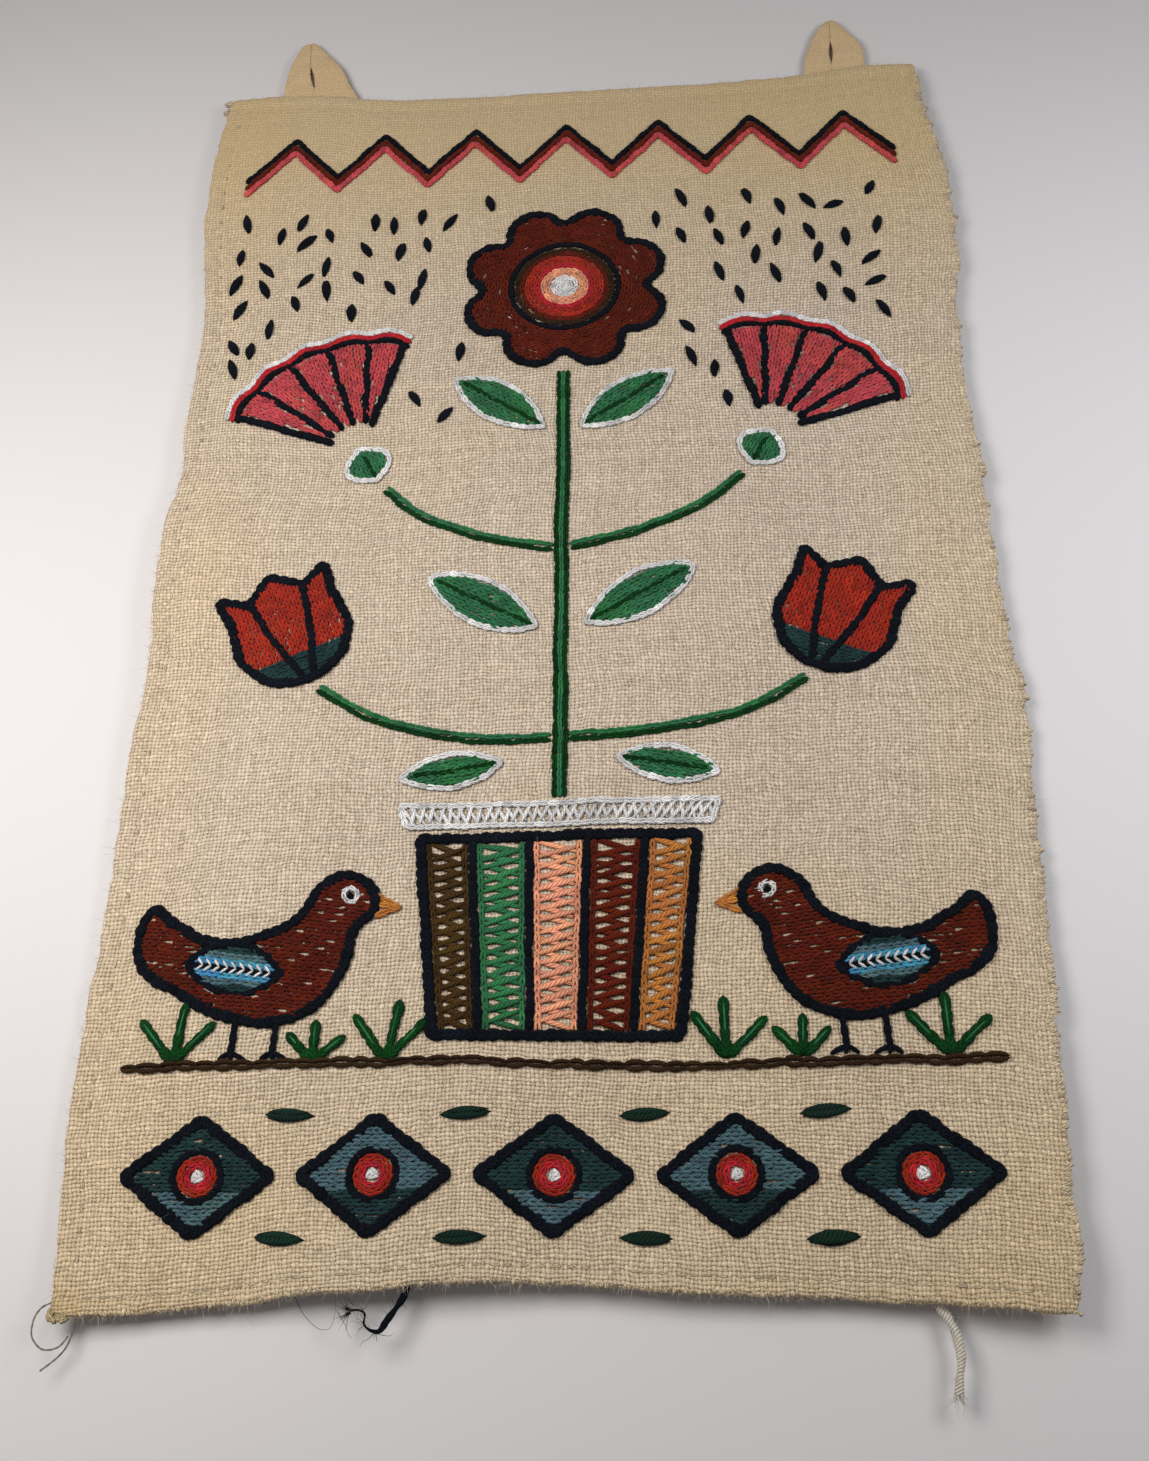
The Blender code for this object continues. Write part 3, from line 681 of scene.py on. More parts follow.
def cloth_middle(across, height):
    """The middle of the cloth's thickness, with the small puckers that the stitches draw into it."""
    puckers = 0.28 * soft_noise(across, height, 23.0, 1) + 0.16 * soft_noise(across, height, 9.0, 2)
    return wave(across, height) + puckers * smooth_step((-height - 10.0) / 40.0)


def mesh_lines(length):
    """Positions from 0 to 1 of the cloth's mesh lines, close together along both edges."""
    inner = length - 2 * EDGE_LINES[-1]
    count = round(inner / EVEN_STEP)
    even = EDGE_LINES[-1] + np.linspace(0.0, inner, count + 1)[1:-1]
    return np.concatenate((EDGE_LINES, even, length - np.array(EDGE_LINES[::-1]))) / length


def build_mesh(name, points, corners, sizes, maps, smooth=True):
    """An object from its points in metres, its faces' corners in one list, how many each has and UV maps."""
    mesh = bpy.data.meshes.new(name)
    mesh.vertices.add(len(points))
    mesh.vertices.foreach_set("co", np.asarray(points, np.float32).ravel())
    mesh.loops.add(len(corners))
    mesh.loops.foreach_set("vertex_index", np.asarray(corners, np.int32))
    starts = np.concatenate(([0], np.cumsum(sizes)[:-1])).astype(np.int32)
    mesh.polygons.add(len(sizes))
    mesh.polygons.foreach_set("loop_start", starts)
    mesh.update(calc_edges=True)
    for map_name, places in maps.items():
        layer = mesh.uv_layers.new(name=map_name)
        layer.data.foreach_set("uv", np.asarray(places, np.float32).ravel())
    mesh.polygons.foreach_set("use_smooth", np.full(len(sizes), smooth))
    item = bpy.data.objects.new(name, mesh)
    bpy.context.scene.collection.objects.link(item)
    return item


def enter_piece(piece, slot, *nodes):
    """Enters a piece in the frame: it rides on the one body and replaces its nodes. The slot is not used."""
    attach(piece, "root")
    if nodes:
        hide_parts(*nodes)


def grid_faces(rows, columns):
    """Corners of a grid's faces that look to the viewer when rows run down and columns run right."""
    r, c = np.mgrid[0:rows - 1, 0:columns - 1]
    first = (r * columns + c).ravel()
    return np.column_stack((first + columns, first + columns + 1, first + 1, first))


def side_bumps(height, seed, size):
    """The small unevenness of a side edge."""
    return size * (soft_noise(height, 0.0, 4.1, seed) + 0.8 * soft_noise(height, 9.0, 11.0, seed))


def make_cloth():
    """The hemmed panel: front and back share the points of a rounded rim, and hems are turned to the back."""
    u, v = np.meshgrid(mesh_lines(CLOTH_WIDE), mesh_lines(CLOTH_TALL))
    rows, columns = u.shape
    # Heights from the widths of the top and the bottom, then places across, then the heights once more
    height = (1 - v) * read_edge(TOP_EDGE, (u - 0.5) * 358) + v * read_edge(BOTTOM_EDGE, (u - 0.5) * 360)
    across = (1 - u) * read_edge(LEFT_EDGE, height) + u * read_edge(RIGHT_EDGE, height)
    height = (1 - v) * read_edge(TOP_EDGE, across) + v * read_edge(BOTTOM_EDGE, across)
    left, right = u * CLOTH_WIDE, (1 - u) * CLOTH_WIDE
    top, bottom = v * CLOTH_TALL, (1 - v) * CLOTH_TALL

    # Corners drawn in, and the small unevenness of the edges
    corner = np.exp(-np.minimum(left, right) / CORNER_REACH) * np.exp(-np.minimum(top, bottom) / CORNER_REACH)
    across = across - np.sign(u - 0.5) * corner * CORNER_DRAW
    height = height + np.sign(v - 0.5) * corner * CORNER_DRAW
    for near, sign, bumps in ((left, -1, LEFT_BUMPS), (right, 1, RIGHT_BUMPS)):
        across = across + sign * side_bumps(height, *bumps) * np.exp(-near / BUMP_REACH)
    for near, seed, sign in ((top, 23, 1), (bottom, 24, -1)):
        bumps = soft_noise(across, 0.0, 4.4, seed) * 0.35 + soft_noise(across, 9.0, 12.0, seed) * 0.45
        height = height + sign * bumps * np.exp(-near / BUMP_REACH)

    middle = cloth_middle(across, height)
    hems = ((left, HEM_LEFT), (top, HEM_TOP), (bottom, HEM_BOTTOM))
    hem = np.maximum.reduce([smooth_step((depth + HEM_STEP - near) / HEM_STEP) for near, depth in hems])
    # A hem sinks along its stitching and swells a little beside it
    for near, depth in hems:
        swell = 0.30 * np.exp(-((near - depth * 0.5) / (depth * 0.32)) ** 2)
        middle = middle - swell + 0.38 * np.exp(-((near - depth - 0.6) / 1.1) ** 2)
    # The hems' corner at the bottom left is thick and rolled
    middle = middle - CORNER_ROLL * np.exp(-(left**2 + bottom**2) / 50.0)
    back_depth = CLOTH_THICK / 2 + (HEM_THICK - CLOTH_THICK) * hem
    centre = (back_depth - CLOTH_THICK / 2) / 2
    half = (back_depth + CLOTH_THICK / 2) / 2
    edge = np.minimum.reduce([left, right, top, bottom])
    rounding = np.sqrt(1 - (1 - np.clip(edge / half, 0.0, 1.0)) ** 2)
    front_points, back_points = (
        np.stack((across, middle + centre + side * half * rounding, height), axis=-1).reshape(-1, 3)
        for side in (-1, 1))

    rim = np.zeros((rows, columns), bool)
    rim[[0, -1]] = True
    rim[:, [0, -1]] = True
    inner = np.flatnonzero(~rim.ravel())
    back_index = np.arange(rows * columns)
    back_index[inner] = rows * columns + np.arange(len(inner))
    faces = grid_faces(rows, columns)
    way = np.stack((u * CLOTH_WIDE, v * CLOTH_TALL), axis=-1).reshape(-1, 2) * MM
    corners = np.concatenate((faces.ravel(), back_index[faces[:, ::-1]].ravel()))
    places = np.concatenate((way[faces.ravel()], way[faces[:, ::-1].ravel()]))
    points = np.concatenate((front_points, back_points[inner])) * MM
    cloth = build_mesh("cloth_panel", points, corners, np.full(2 * len(faces), 4), {"cloth_way": places})
    cloth.data.materials.append(materials["ground_cloth"])
    enter_piece(cloth, "ground_cloth", "panel")
    return cloth


def tube_sides(rings, around):
    """Corners of the faces along a tube of rings of points."""
    r, c = np.mgrid[0:rings - 1, 0:around]
    low, after = r * around + c, r * around + (c + 1) % around
    return np.stack((low, after, after + around, low + around), axis=-1).reshape(-1, 4)


def tube_way(start, end, reach):
    """UV places of the same corners, from where each face starts and ends around the tube, and how far along
    it the rings lie."""
    corners = np.broadcast_arrays(start, reach[:-1, None], end, reach[:-1, None],
                                  end, reach[1:, None], start, reach[1:, None])
    return np.stack(corners, axis=-1).reshape(-1, 2)


def flat_tube(left, right, front, thick):
    """A strip of doubled cloth between two lines of places: rounded at both long edges, closed at both ends.
    It gives the tube's points, the faces' corners, their sizes and the UV places."""
    around = 16
    angles = 2 * pi * np.arange(around) / around
    spread = np.sign(np.cos(angles)) * np.abs(np.cos(angles)) ** 0.55
    bulge = np.sign(np.sin(angles)) * np.abs(np.sin(angles)) ** 0.75
    steps = len(left) - 1
    ends = np.sin(pi * np.linspace(0.03, 0.97, steps + 1)) ** 0.25
    middle, half = (left + right) / 2, (right - left) / 2
    places = middle[:, None] + half[:, None] * spread[None, :, None]
    back = front + thick / 2 + thick / 2 * bulge[None, :] * ends[:, None]
    uneven = 0.45 * soft_noise(places[..., 0], places[..., 1], 5.0, 31)
    points = np.stack((places[..., 0], back + uneven, places[..., 1]), axis=-1).reshape(-1, 3)
    reach = run_along(middle)
    begin = (spread + 1) / 2 * (2 * np.linalg.norm(half[:-1], axis=1))[:, None]
    way = tube_way(begin, np.roll(begin, -1, axis=1), reach)
    # The ends lie on a strip 16 mm wide
    low_end, high_end = (np.column_stack(((spread + 1) * 8, np.full(around, at))) for at in (0.0, reach[-1]))
    one = np.arange(around)
    corners = np.concatenate((tube_sides(steps + 1, around).ravel(), one[::-1], steps * around + one))
    sizes = np.array([4] * (steps * around) + [around] * 2)
    return points, corners, sizes, np.concatenate((way, low_end[::-1], high_end)) * MM


def make_loop(side, outline, eye_foot, eye_top, fold_foot):
    """A hanging loop: both legs of one tape side by side, and its folded top doubled behind them."""
    base = read_edge(TOP_EDGE, np.array(eye_foot[0]))
    front = HEM_THICK - CLOTH_THICK / 2 + TAPE_GAP + wave(np.array(eye_foot[0]), base)
    route = smooth_route(outline, LOOP_ROUTE_POINTS)
    apex = int(np.argmax(route[:, 1]))
    left_side, right_side = route[:apex + 1], route[:apex - 1:-1]
    foot = max(left_side[0, 1], right_side[0, 1])
    top = route[apex, 1] - 0.25
    seam = np.array(((eye_foot[0], foot), eye_foot, eye_top, route[apex]))

    def line(places, heights, shift=0.0):
        return spots(np.interp(heights, places[:, 1], places[:, 0]) + shift, heights)

    def rows(low, count):
        return low + (top - low) * (1 - (1 - np.linspace(0, 1, count)) ** 1.6)

    heights = rows(foot, LOOP_ROWS)
    opened = np.sin(pi * np.clip((heights - eye_foot[1]) / (eye_top[1] - eye_foot[1]), 0, 1))
    lap = LEG_LAP * (heights < eye_top[1])
    part = opened * (EYE_HALF_WIDTH + lap) - lap
    fold = rows(fold_foot, LOOP_ROWS // 2)
    layers = (
        (line(left_side, heights), line(seam, heights, -part), front + LEG_STEP),
        (line(seam, heights, part), line(right_side, heights), front),
        (line(left_side, fold, FOLD_INSET), line(right_side, fold, -FOLD_INSET), front + TAPE_THICK))
    made = [flat_tube(*layer, TAPE_THICK) for layer in layers]
    counts = np.cumsum([0] + [len(tube[0]) for tube in made])
    corners = np.concatenate([tube[1] + count for tube, count in zip(made, counts)])
    points, sizes, places = (np.concatenate([tube[k] for tube in made]) for k in (0, 2, 3))
    loop = build_mesh(f"hanging_loop_{side}", points * MM, corners, sizes, {"cloth_way": places})
    recalculate_normals(loop)
    loop.data.materials.append(materials["loop_cloth"])
    enter_piece(loop, "ground_cloth", f"loop_{side}")
    return loop


def recalculate_normals(item):
    """Turns a closed mesh's faces outwards."""
    bm = bmesh.new()
    bm.from_mesh(item.data)
    bmesh.ops.recalc_face_normals(bm, faces=bm.faces)
    bm.to_mesh(item.data)
    bm.free()


def spaced(points, pitch, closed=False, count=None):
    """Even places along a line, about one pitch apart, with both its ends kept."""
    points = np.asarray(points, float)
    if closed:
        points = np.vstack((points, points[:1]))
    reach = run_along(points)
    count = count or max(1, round(reach[-1] / pitch))
    at = np.linspace(0.0, reach[-1], count + 1)
    return np.column_stack([np.interp(at, reach, points[:, k]) for k in range(points.shape[1])])


def smooth_route(points, count):
    """Points read evenly from a smooth curve through a list of points."""
    points = np.asarray(points, float)
    padded = np.vstack((points[:1], points, points[-1:]))
    place = np.linspace(0, len(points) - 1, count)
    k = np.minimum(place.astype(int), len(points) - 2)
    t = (place - k)[:, None]
    before, start, end, after = (padded[k + i] for i in range(4))
    return 0.5 * (2 * start + (end - before) * t + (2 * before - 5 * start + 4 * end - after) * t**2
                  + (3 * start - before - 3 * end + after) * t**3)


def smooth_closed(points, count):
    """A closed outline read from a smooth curve through a few corners."""
    around = list(points) * 3
    fine = smooth_route(around, (len(around) - 1) * 8 + 1)
    first = len(points) * 8
    share = len(points) / count
    return fine[[round(first + k * share * 8) for k in range(count)]]


def turn(points, across, height, degrees=0.0, mirror=False):
    """Turns local places and sets them down on the cloth."""
    points = np.asarray(points, float)
    c, s = cos(radians(degrees)), sin(radians(degrees))
    x = across + points[..., 0] * c - points[..., 1] * s
    z = height + points[..., 0] * s + points[..., 1] * c
    return np.stack((-x if mirror else x, z), axis=-1)


def ring(radius, count):
    """A circle's outline."""
    return radius * rays(1.0, 2 * pi * np.arange(count) / count)


def petals(inner, outer, number):
    """A round flower's outline with rounded petals, of six points each."""
    angles = 2 * pi * np.arange(number * 6) / (number * 6)
    return rays(inner + (outer - inner) * np.abs(np.sin(number * angles / 2)) ** 0.7, angles)


def leaf(length, width, steps=8):
    """A pointed leaf from its root at 0, 0 along +X."""
    upper = [(length * k / steps, width / 2 * sin(pi * k / steps) ** 0.8) for k in range(steps + 1)]
    return np.array(upper + [(x, -z) for x, z in reversed(upper[1:-1])])


def tulip(length, width):
    """A three-tipped flower head opening along +X from its root."""
    side = [(0.0, 0.12), (0.1, 0.34), (0.35, 0.5), (0.68, 0.46), (1.0, 0.5), (0.86, 0.24), (1.04, 0.0)]
    upper = [(length * x, width * z) for x, z in side]
    return np.array(upper + [(x, -z) for x, z in reversed(upper[:-1])])


def inset(outline, distance):
    """A closed outline drawn in by a distance."""
    points = np.asarray(outline, float)
    ahead = unit(np.roll(points, -1, axis=0) - points)
    x, z = points[:, 0], points[:, 1]
    area = np.sum(x * np.roll(z, -1) - np.roll(x, -1) * z)
    inward = leftward(ahead) * np.sign(area)
    before = np.roll(inward, 1, axis=0)
    mitre = (inward + before) / np.maximum(1 + np.sum(inward * before, axis=1), 0.45)[:, None]
    return points + mitre * distance


def beside(route, distance):
    """A line at a distance to the left of another."""
    return route + distance * leftward(unit(np.gradient(route, axis=0)))


def inside(points, outline):
    """Whether each point lies inside a closed outline, and how far each is from it."""
    a = np.asarray(outline, float)
    b = np.roll(a, -1, axis=0)
    p = points[:, None]
    crosses = (a[:, 1] > p[..., 1]) != (b[:, 1] > p[..., 1])
    climb = np.where(b[:, 1] == a[:, 1], 1e-9, b[:, 1] - a[:, 1])
    at = (b[:, 0] - a[:, 0]) * (p[..., 1] - a[:, 1]) / climb + a[:, 0]
    within = np.sum(crosses & (p[..., 0] < at), axis=1) % 2 == 1
    edge = b - a
    share = np.clip(np.sum((p - a) * edge, axis=2) / np.maximum(np.sum(edge * edge, axis=1), 1e-9), 0.0, 1.0)
    gap = np.linalg.norm(p - (a + share[..., None] * edge), axis=2).min(axis=1)
    return within, gap


def parallel_lines(outline, degrees=0.0, step=ROW_STEP):
    """Slightly uneven sewing lines side by side across an outline."""
    outline = np.asarray(outline, float)
    c, s = cos(radians(degrees)), sin(radians(degrees))
    ahead, aside = np.array((c, s)), np.array((-s, c))
    along, over = outline @ ahead, outline @ aside
    at = np.arange(along.min(), along.max() + 1.0, 1.0)
    lines = []
    for place in np.arange(over.min() + step / 2, over.max(), step):
        sway = 0.35 * soft_noise(at, place, 8.0, 41)
        lines.append(at[:, None] * ahead + (place + sway)[:, None] * aside)
    return lines


def chain(line, yarn, stitch, closed=False, lift=0.0):
    """A row of chain stitches along a line."""
    places = spaced(line, stitch.length, closed)
    if len(places) > 2:
        places[1:-1] += rng.normal(0.0, STITCH_SCATTER, places[1:-1].shape)
    return bars(places[:-1], places[1:], yarn, stitch, lift)


def bars(starts, ends, yarn, stitch, lift=0.0):
    """Straight stitches from places to other places."""
    starts, ends = np.asarray(starts, float), np.asarray(ends, float)
    return Row(stitch, yarn, starts, ends, lift, np.ones(len(starts)))


def lattice(first, second, pitch, yarn, stitch=BAR):
    """Straight stitches that cross between two lines, with the cloth showing through."""
    run = np.linalg.norm(np.diff(spaced(first, 1.0), axis=0), axis=1).sum()
    count = 2 * max(2, round(run / pitch))
    a, b = spaced(first, pitch, count=count), spaced(second, pitch, count=count)
    a = a + rng.normal(0.0, pitch * 0.10, a.shape)
    b = b + rng.normal(0.0, pitch * 0.10, b.shape)
    return [bars(a[:-2:2], b[2::2], yarn, stitch), bars(b[1:-2:2], a[3::2], yarn, stitch, 0.5)]


def fill(lines, outline, yarn, margin, holes=(), eyes=0.0):
    """Rows of chain stitch along lines, as far as they lie inside an outline and outside its holes. A share
    of the stitches stays open, so that a speck of cloth shows in it."""
    rows = []
    for line in lines:
        places = spaced(line, 0.5)
        within, gap = inside(places, outline)
        keep = within & (gap > margin)
        for hole in holes:
            keep &= ~inside(places, hole)[0]
        edges = np.flatnonzero(np.diff(np.concatenate(([0], keep.astype(int), [0]))))
        for start, end in zip(edges[::2], edges[1::2]):
            if end - start > 3:
                row = chain(places[start:end], yarn, FINE)
                eyed = rng.random(len(row.starts)) < eyes
                for which, kind in ((~eyed, FINE), (eyed, EYED)):
                    rows.append(Row(kind, yarn, row.starts[which], row.ends[which], 0.0, row.share[which]))
    return rows


def straight_sides(outline, drawn_in):
    """A black chain along each side of an outline with sharp corners."""
    corners = inset(outline, drawn_in)
    return [chain(side, "wool_black", BOLD) for side in zip(corners, np.roll(corners, -1, axis=0))]


def placed(rows, across, height, degrees=0.0, mirror=False):
    """Rows turned and set down on the cloth."""
    return [row._replace(starts=turn(row.starts, across, height, degrees, mirror),
                         ends=turn(row.ends, across, height, degrees, mirror)) for row in rows]


def select_slice(place):
    """Selects the points of the mesh in edit mode that lie at a place along X."""
    mesh = bmesh.from_edit_mesh(bpy.context.object.data)
    for vert in mesh.verts:
        vert.select = abs(vert.co.x - place) < 1e-4
    mesh.select_flush_mode()
    bmesh.update_edit_mesh(bpy.context.object.data)


def model_lobe(segments, slices):
    """A soft drop of yarn along X from 0 to 1, shaped from a sphere slice by slice."""
    bpy.ops.object.select_all(action="DESELECT")
    bpy.ops.mesh.primitive_uv_sphere_add(segments=segments, ring_count=len(slices) - 1, radius=0.5)
    bpy.ops.object.mode_set(mode="EDIT")
    bpy.ops.mesh.select_all(action="SELECT")
    bpy.ops.transform.rotate(value=pi / 2, orient_axis="Y", center_override=(0.0, 0.0, 0.0))
    heads = sorted({round(vert.co.x, 4) for vert in bmesh.from_edit_mesh(bpy.context.object.data).verts})
    # Each slice goes far aside once it is shaped, so that no other is selected with it, and then all go back
    away = 5.0
    for head, (along, aside, wide, up, tall) in zip(heads, slices):
        select_slice(head)
        reach = max(0.25 - head * head, 0.0) ** 0.5 or 1.0
        size = (1.0, wide / reach, tall / reach)
        bpy.ops.transform.resize(value=size, center_override=(head, 0.0, 0.0))
        bpy.ops.transform.translate(value=(away + along - head, aside, up))
    bpy.ops.mesh.select_all(action="SELECT")
    bpy.ops.transform.translate(value=(-away, 0.0, 0.0))


def read_values(items, name, kind, wide=1):
    """Reads one value, or a few, of each of a mesh's points, corners or faces."""
    values = np.zeros(len(items) * wide, kind)
    items.foreach_get(name, values)
    return values.reshape(-1, wide) if wide > 1 else values


def model_stitch(linked, segments, slices):
    """Models one stitch and gives its points, corners, face sizes and UV places."""
    model_lobe(segments, slices)
    if linked:
        bpy.ops.mesh.duplicate()
        bpy.ops.transform.resize(value=(1.0, -1.0, 1.0), center_override=(0.0, 0.0, 0.0))
        bpy.ops.mesh.flip_normals()
    bpy.ops.object.mode_set(mode="OBJECT")
    item = bpy.context.object
    mesh = item.data
    shape = (read_values(mesh.vertices, "co", float, 3),
             read_values(mesh.loops, "vertex_index", int),
             read_values(mesh.polygons, "loop_total", int),
             read_values(mesh.uv_layers[0].data, "uv", float, 2))
    bpy.data.objects.remove(item)
    bpy.data.meshes.remove(mesh)
    return shape


def laid(local, starts, ends, width, height, lift, behind):
    """The points of many copies of one stitch, each laid on the cloth from its start to its end."""
    run = ends - starts
    length = np.maximum(np.linalg.norm(run, axis=1), 1e-6)[:, None]
    side = leftward(run) / length * (-1 if behind else 1)
    places = (starts[:, None] + local[None, :, :1] * run[:, None]
              + local[None, :, 1:2] * (side * width[:, None] / 2)[:, None])
    up = local[None, :, 2] * height[:, None] + lift
    middle = cloth_middle(places[..., 0], places[..., 1])
    y = middle + CLOTH_THICK / 2 + up if behind else middle - CLOTH_THICK / 2 - up
    return np.stack((places[..., 0], y, places[..., 1]), axis=-1).reshape(-1, 3)


def note_values(piece, name, values):
    """Keeps a value for each of a piece's points, for its material."""
    layer = piece.data.attributes.new(name, "FLOAT", "POINT")
    layer.data.foreach_set("value", np.asarray(values, np.float32))


def sew(name, rows, slot, nodes=()):
    """Makes one piece of rows of stitches, with the short stitches that show on the cloth's back."""
    sewn.extend(rows)
    yarns = sorted({row.yarn for row in rows})
    parts, count = [], 0
    for row in rows:
        number = len(row.starts)
        if not number:
            continue
        width = row.stitch.width * rng.uniform(0.87, 1.12, number) * row.share
        turns = np.linalg.norm(row.ends - row.starts, axis=1) / TWIST_LENGTH
        height = row.stitch.height * rng.uniform(0.80, 1.15, number)
        shade = rng.normal(0.0, 0.4, number)
        under_width = np.full(number, min(row.stitch.width * 0.45, UNDER_WIDTH))
        under_height = np.full(number, UNDER_HEIGHT)
        for shape, wide, tall, lift, behind in (
                (shapes[row.stitch.shape], width, height, row.lift, False),
                (shapes["under"], under_width, under_height, 0.0, True)):
            points, corners, sizes, places = shape
            size = len(points)
            shift = rng.random((number, 1, 2))
            scale = np.column_stack((np.ones(number), turns))[:, None]
            parts.append((
                laid(points, row.starts, row.ends, wide, tall, lift, behind),
                (corners + (count + size * np.arange(number))[:, None]).ravel(),
                np.tile(sizes, number),
                (places * scale + shift).reshape(-1, 2),
                np.repeat(shade, size),
                np.tile(points[:, 2], number),
                np.full(number * len(sizes), yarns.index(row.yarn), np.int32)))
            count += size * number
    points, corners, sizes, places, shades, heights_for_painted_shade, yarn_of = (np.concatenate(part) for part in zip(*parts))
    piece = build_mesh(name, points * MM, corners, sizes, {"yarn_way": places})
    note_values(piece, "shade", shades)
    # The stitches' heights, for the painted shade low between neighbours
    note_values(piece, "height_for_painted_shade", heights_for_painted_shade)
    for yarn in yarns:
        piece.data.materials.append(materials[yarn])
    piece.data.polygons.foreach_set("material_index", yarn_of)
    enter_piece(piece, slot, *nodes)


def sew_motif(motif, rows, slot):
    """Makes the piece of a motif whose raised area is a node of the solids."""
    sew(f"stitched_{motif}", rows, slot, [f"wool_{motif}"])


def sew_zigzag():
    """Three rows side by side: black, rust and rose."""
    reach, low, high, width, peaks = 163, -51, -24, 13.0, 7
    corners = [(-reach + reach * k / peaks, high if k % 2 else low) for k in range(2 * peaks + 1)]
    rows = []
    for share, yarn in ((1 / 6, "wool_black"), (3 / 6, "wool_rust"), (5 / 6, "wool_rose")):
        line = np.array(corners) - np.array((0.0, width * share))
        for start, end in zip(line[:-1], line[1:]):
            rows.append(chain((start, end), yarn, MIDDLE))
    sew_motif("zigzag", rows, "wool_rust")


def sew_rosette():
    """A round flower of eight petals round a ringed middle."""
    outline = petals(41, 51, 8)
    rows = [chain(inset(smooth_closed(outline, 96), 1.9), "wool_black", BOLD, True),
            chain(ring(25.9, 60), "wool_black", MIDDLE, True)]
    arcs = [ring(radius, 120) for radius in np.arange(28.7, 50, ROW_STEP)]
    rows += fill([np.vstack((arc, arc[:1])) for arc in arcs], outline, "wool_rust", 2.8, eyes=0.05)
    sew_motif("rosette_petals", placed(rows, *ROSETTE), "wool_rust")
    rings = ((22.9, "wool_umber"), (20.4, "wool_rust"), (17.9, "wool_orange"), (15.4, "wool_orange"),
             (13.0, "wool_crimson"), (10.6, "wool_peach"), (8.2, "wool_peach"), (5.8, "wool_white"),
             (3.4, "wool_white"), (1.3, "wool_white"))
    rows = [chain(ring(radius, 60), yarn, RING, True) for radius, yarn in rings]
    sew_motif("rosette_middle", placed(rows, *ROSETTE), "wool_orange")


def sew_stem():
    """The plant's stem and its four branches, in rows side by side."""
    stem = smooth_route(((0, -184), (0, -396.5)), 40)
    stem[:, 0] += 0.5 * soft_noise(stem[:, 1], 0.0, 30.0, 51)
    rows = [chain(beside(stem, shift), yarn, STEM)
            for shift, yarn in ((-2.1, "wool_dark_green"), (0.0, "wool_green"), (2.1, "wool_dark_green"))]
    sew_motif("stem", rows, "wool_green")
    for side, mirror in SIDES:
        for which, points in BRANCHES.items():
            route = smooth_route(points, 30)
            rows = [chain(beside(route, shift), yarn, BRANCH)
                    for shift, yarn in ((1.25, "wool_green"), (-1.25, "wool_dark_green"))]
            sew_motif(f"{which}_branch_{side}", placed(rows, 0, 0, 0, mirror), "wool_green")


def leaf_rows(length, width, steps=8):
    """A green leaf with a white outline and a dark vein."""
    outline = leaf(length, width, steps)
    rows = [chain(inset(outline, 1.3), "wool_white", BORDER, True)]
    rows += fill(parallel_lines(outline), outline, "wool_green", 2.0, eyes=0.02)
    rows.append(chain(((4, 0), (length - 7, 0)), "wool_dark_green", VEIN, lift=0.8))
    return rows


def sew_leaves():
    """Three leaves on each side of the stem."""
    for side, mirror in SIDES:
        for which, (size, place) in LEAVES.items():
            sew_motif(f"{which}_leaf_{side}", placed(leaf_rows(*size), *place, mirror), "wool_green")


def sew_fans():
    """Fan-shaped flower heads: five rose wedges parted by black, in a scalloped border, each in a green
    cup."""
    inner, outer, spread, scallops = 17, 70, 88, 5
    half = radians(spread / 2)

    def edge(drawn_in):
        angles = np.linspace(-half, half, 61)
        scallop = 2.5 * np.abs(np.sin(scallops * pi * (angles + half) / (2 * half)))
        return rays(outer + scallop - drawn_in, angles)

    def ray(angle, *ends):
        return rays(np.array(ends), angle)

    rows = [chain(edge(1.3), "wool_white", BORDER), chain(edge(3.9), "wool_crimson", SECOND_BORDER),
            chain(edge(6.7), "wool_black", MIDDLE)]
    for angle in (-half, half):
        side = beside(spaced(ray(angle, inner, outer - 6), 2.0), -2.0 * np.sign(angle))
        rows.append(chain(side, "wool_black", FAN_SIDE))
    wedges = np.linspace(-half, half, scallops + 1)
    rows += [chain(ray(angle, inner + 2, outer - 8), "wool_black", DIVIDER) for angle in wedges[1:-1]]
    for low, high in zip(wedges[:-1], wedges[1:]):
        wedge = []
        for reach, order in ((outer - 5.6, 1), (inner + 1, -1)):
            first = low + (3.4 if low == wedges[0] else 0.5) / reach
            last = high - (3.4 if high == wedges[-1] else 0.5) / reach
            wedge += [(reach * cos(a), reach * sin(a)) for a in np.linspace(first, last, 12)[::order]]
        wedge = np.array(wedge)
        rows += fill(parallel_lines(wedge, np.degrees((low + high) / 2)), wedge, "wool_rose", 0.9, eyes=0.02)
    cup = leaf_rows(23, 24, 6)
    for side, mirror in SIDES:
        sew_motif(f"fan_{side}", placed(rows, *FAN, mirror), "wool_rose")
        sew_motif(f"fan_cup_{side}", placed(cup, *FAN_CUP, mirror), "wool_green")


def sew_tulips():
    """Three-tipped flower heads in red, parted by black, on a dark blue-green base."""
    outline = tulip(58, 54)
    base = np.array([(-1, -12), (15, -22), (15, 22), (-1, 12)])
    rows = [chain(inset(outline, 2.0), "wool_black", BOLD, True)]
    notches = [np.array(((4, 2.5 * s), (30, 9.5 * s), (47, 12 * s))) for s in (1, -1)]
    rows += [chain(line, "wool_black", DIVIDER, lift=0.35) for line in notches]
    rows += fill(parallel_lines(outline), outline, "wool_orange", 2.8, [base], eyes=0.03)
    rows += fill(parallel_lines(base, 90), outline, "wool_teal", 2.8,
                 [np.array([(15.6, -30), (70, -30), (70, 30), (15.6, 30)])])
    for side, mirror in SIDES:
        sew_motif(f"tulip_{side}", placed(rows, *TULIP, mirror), "wool_orange")


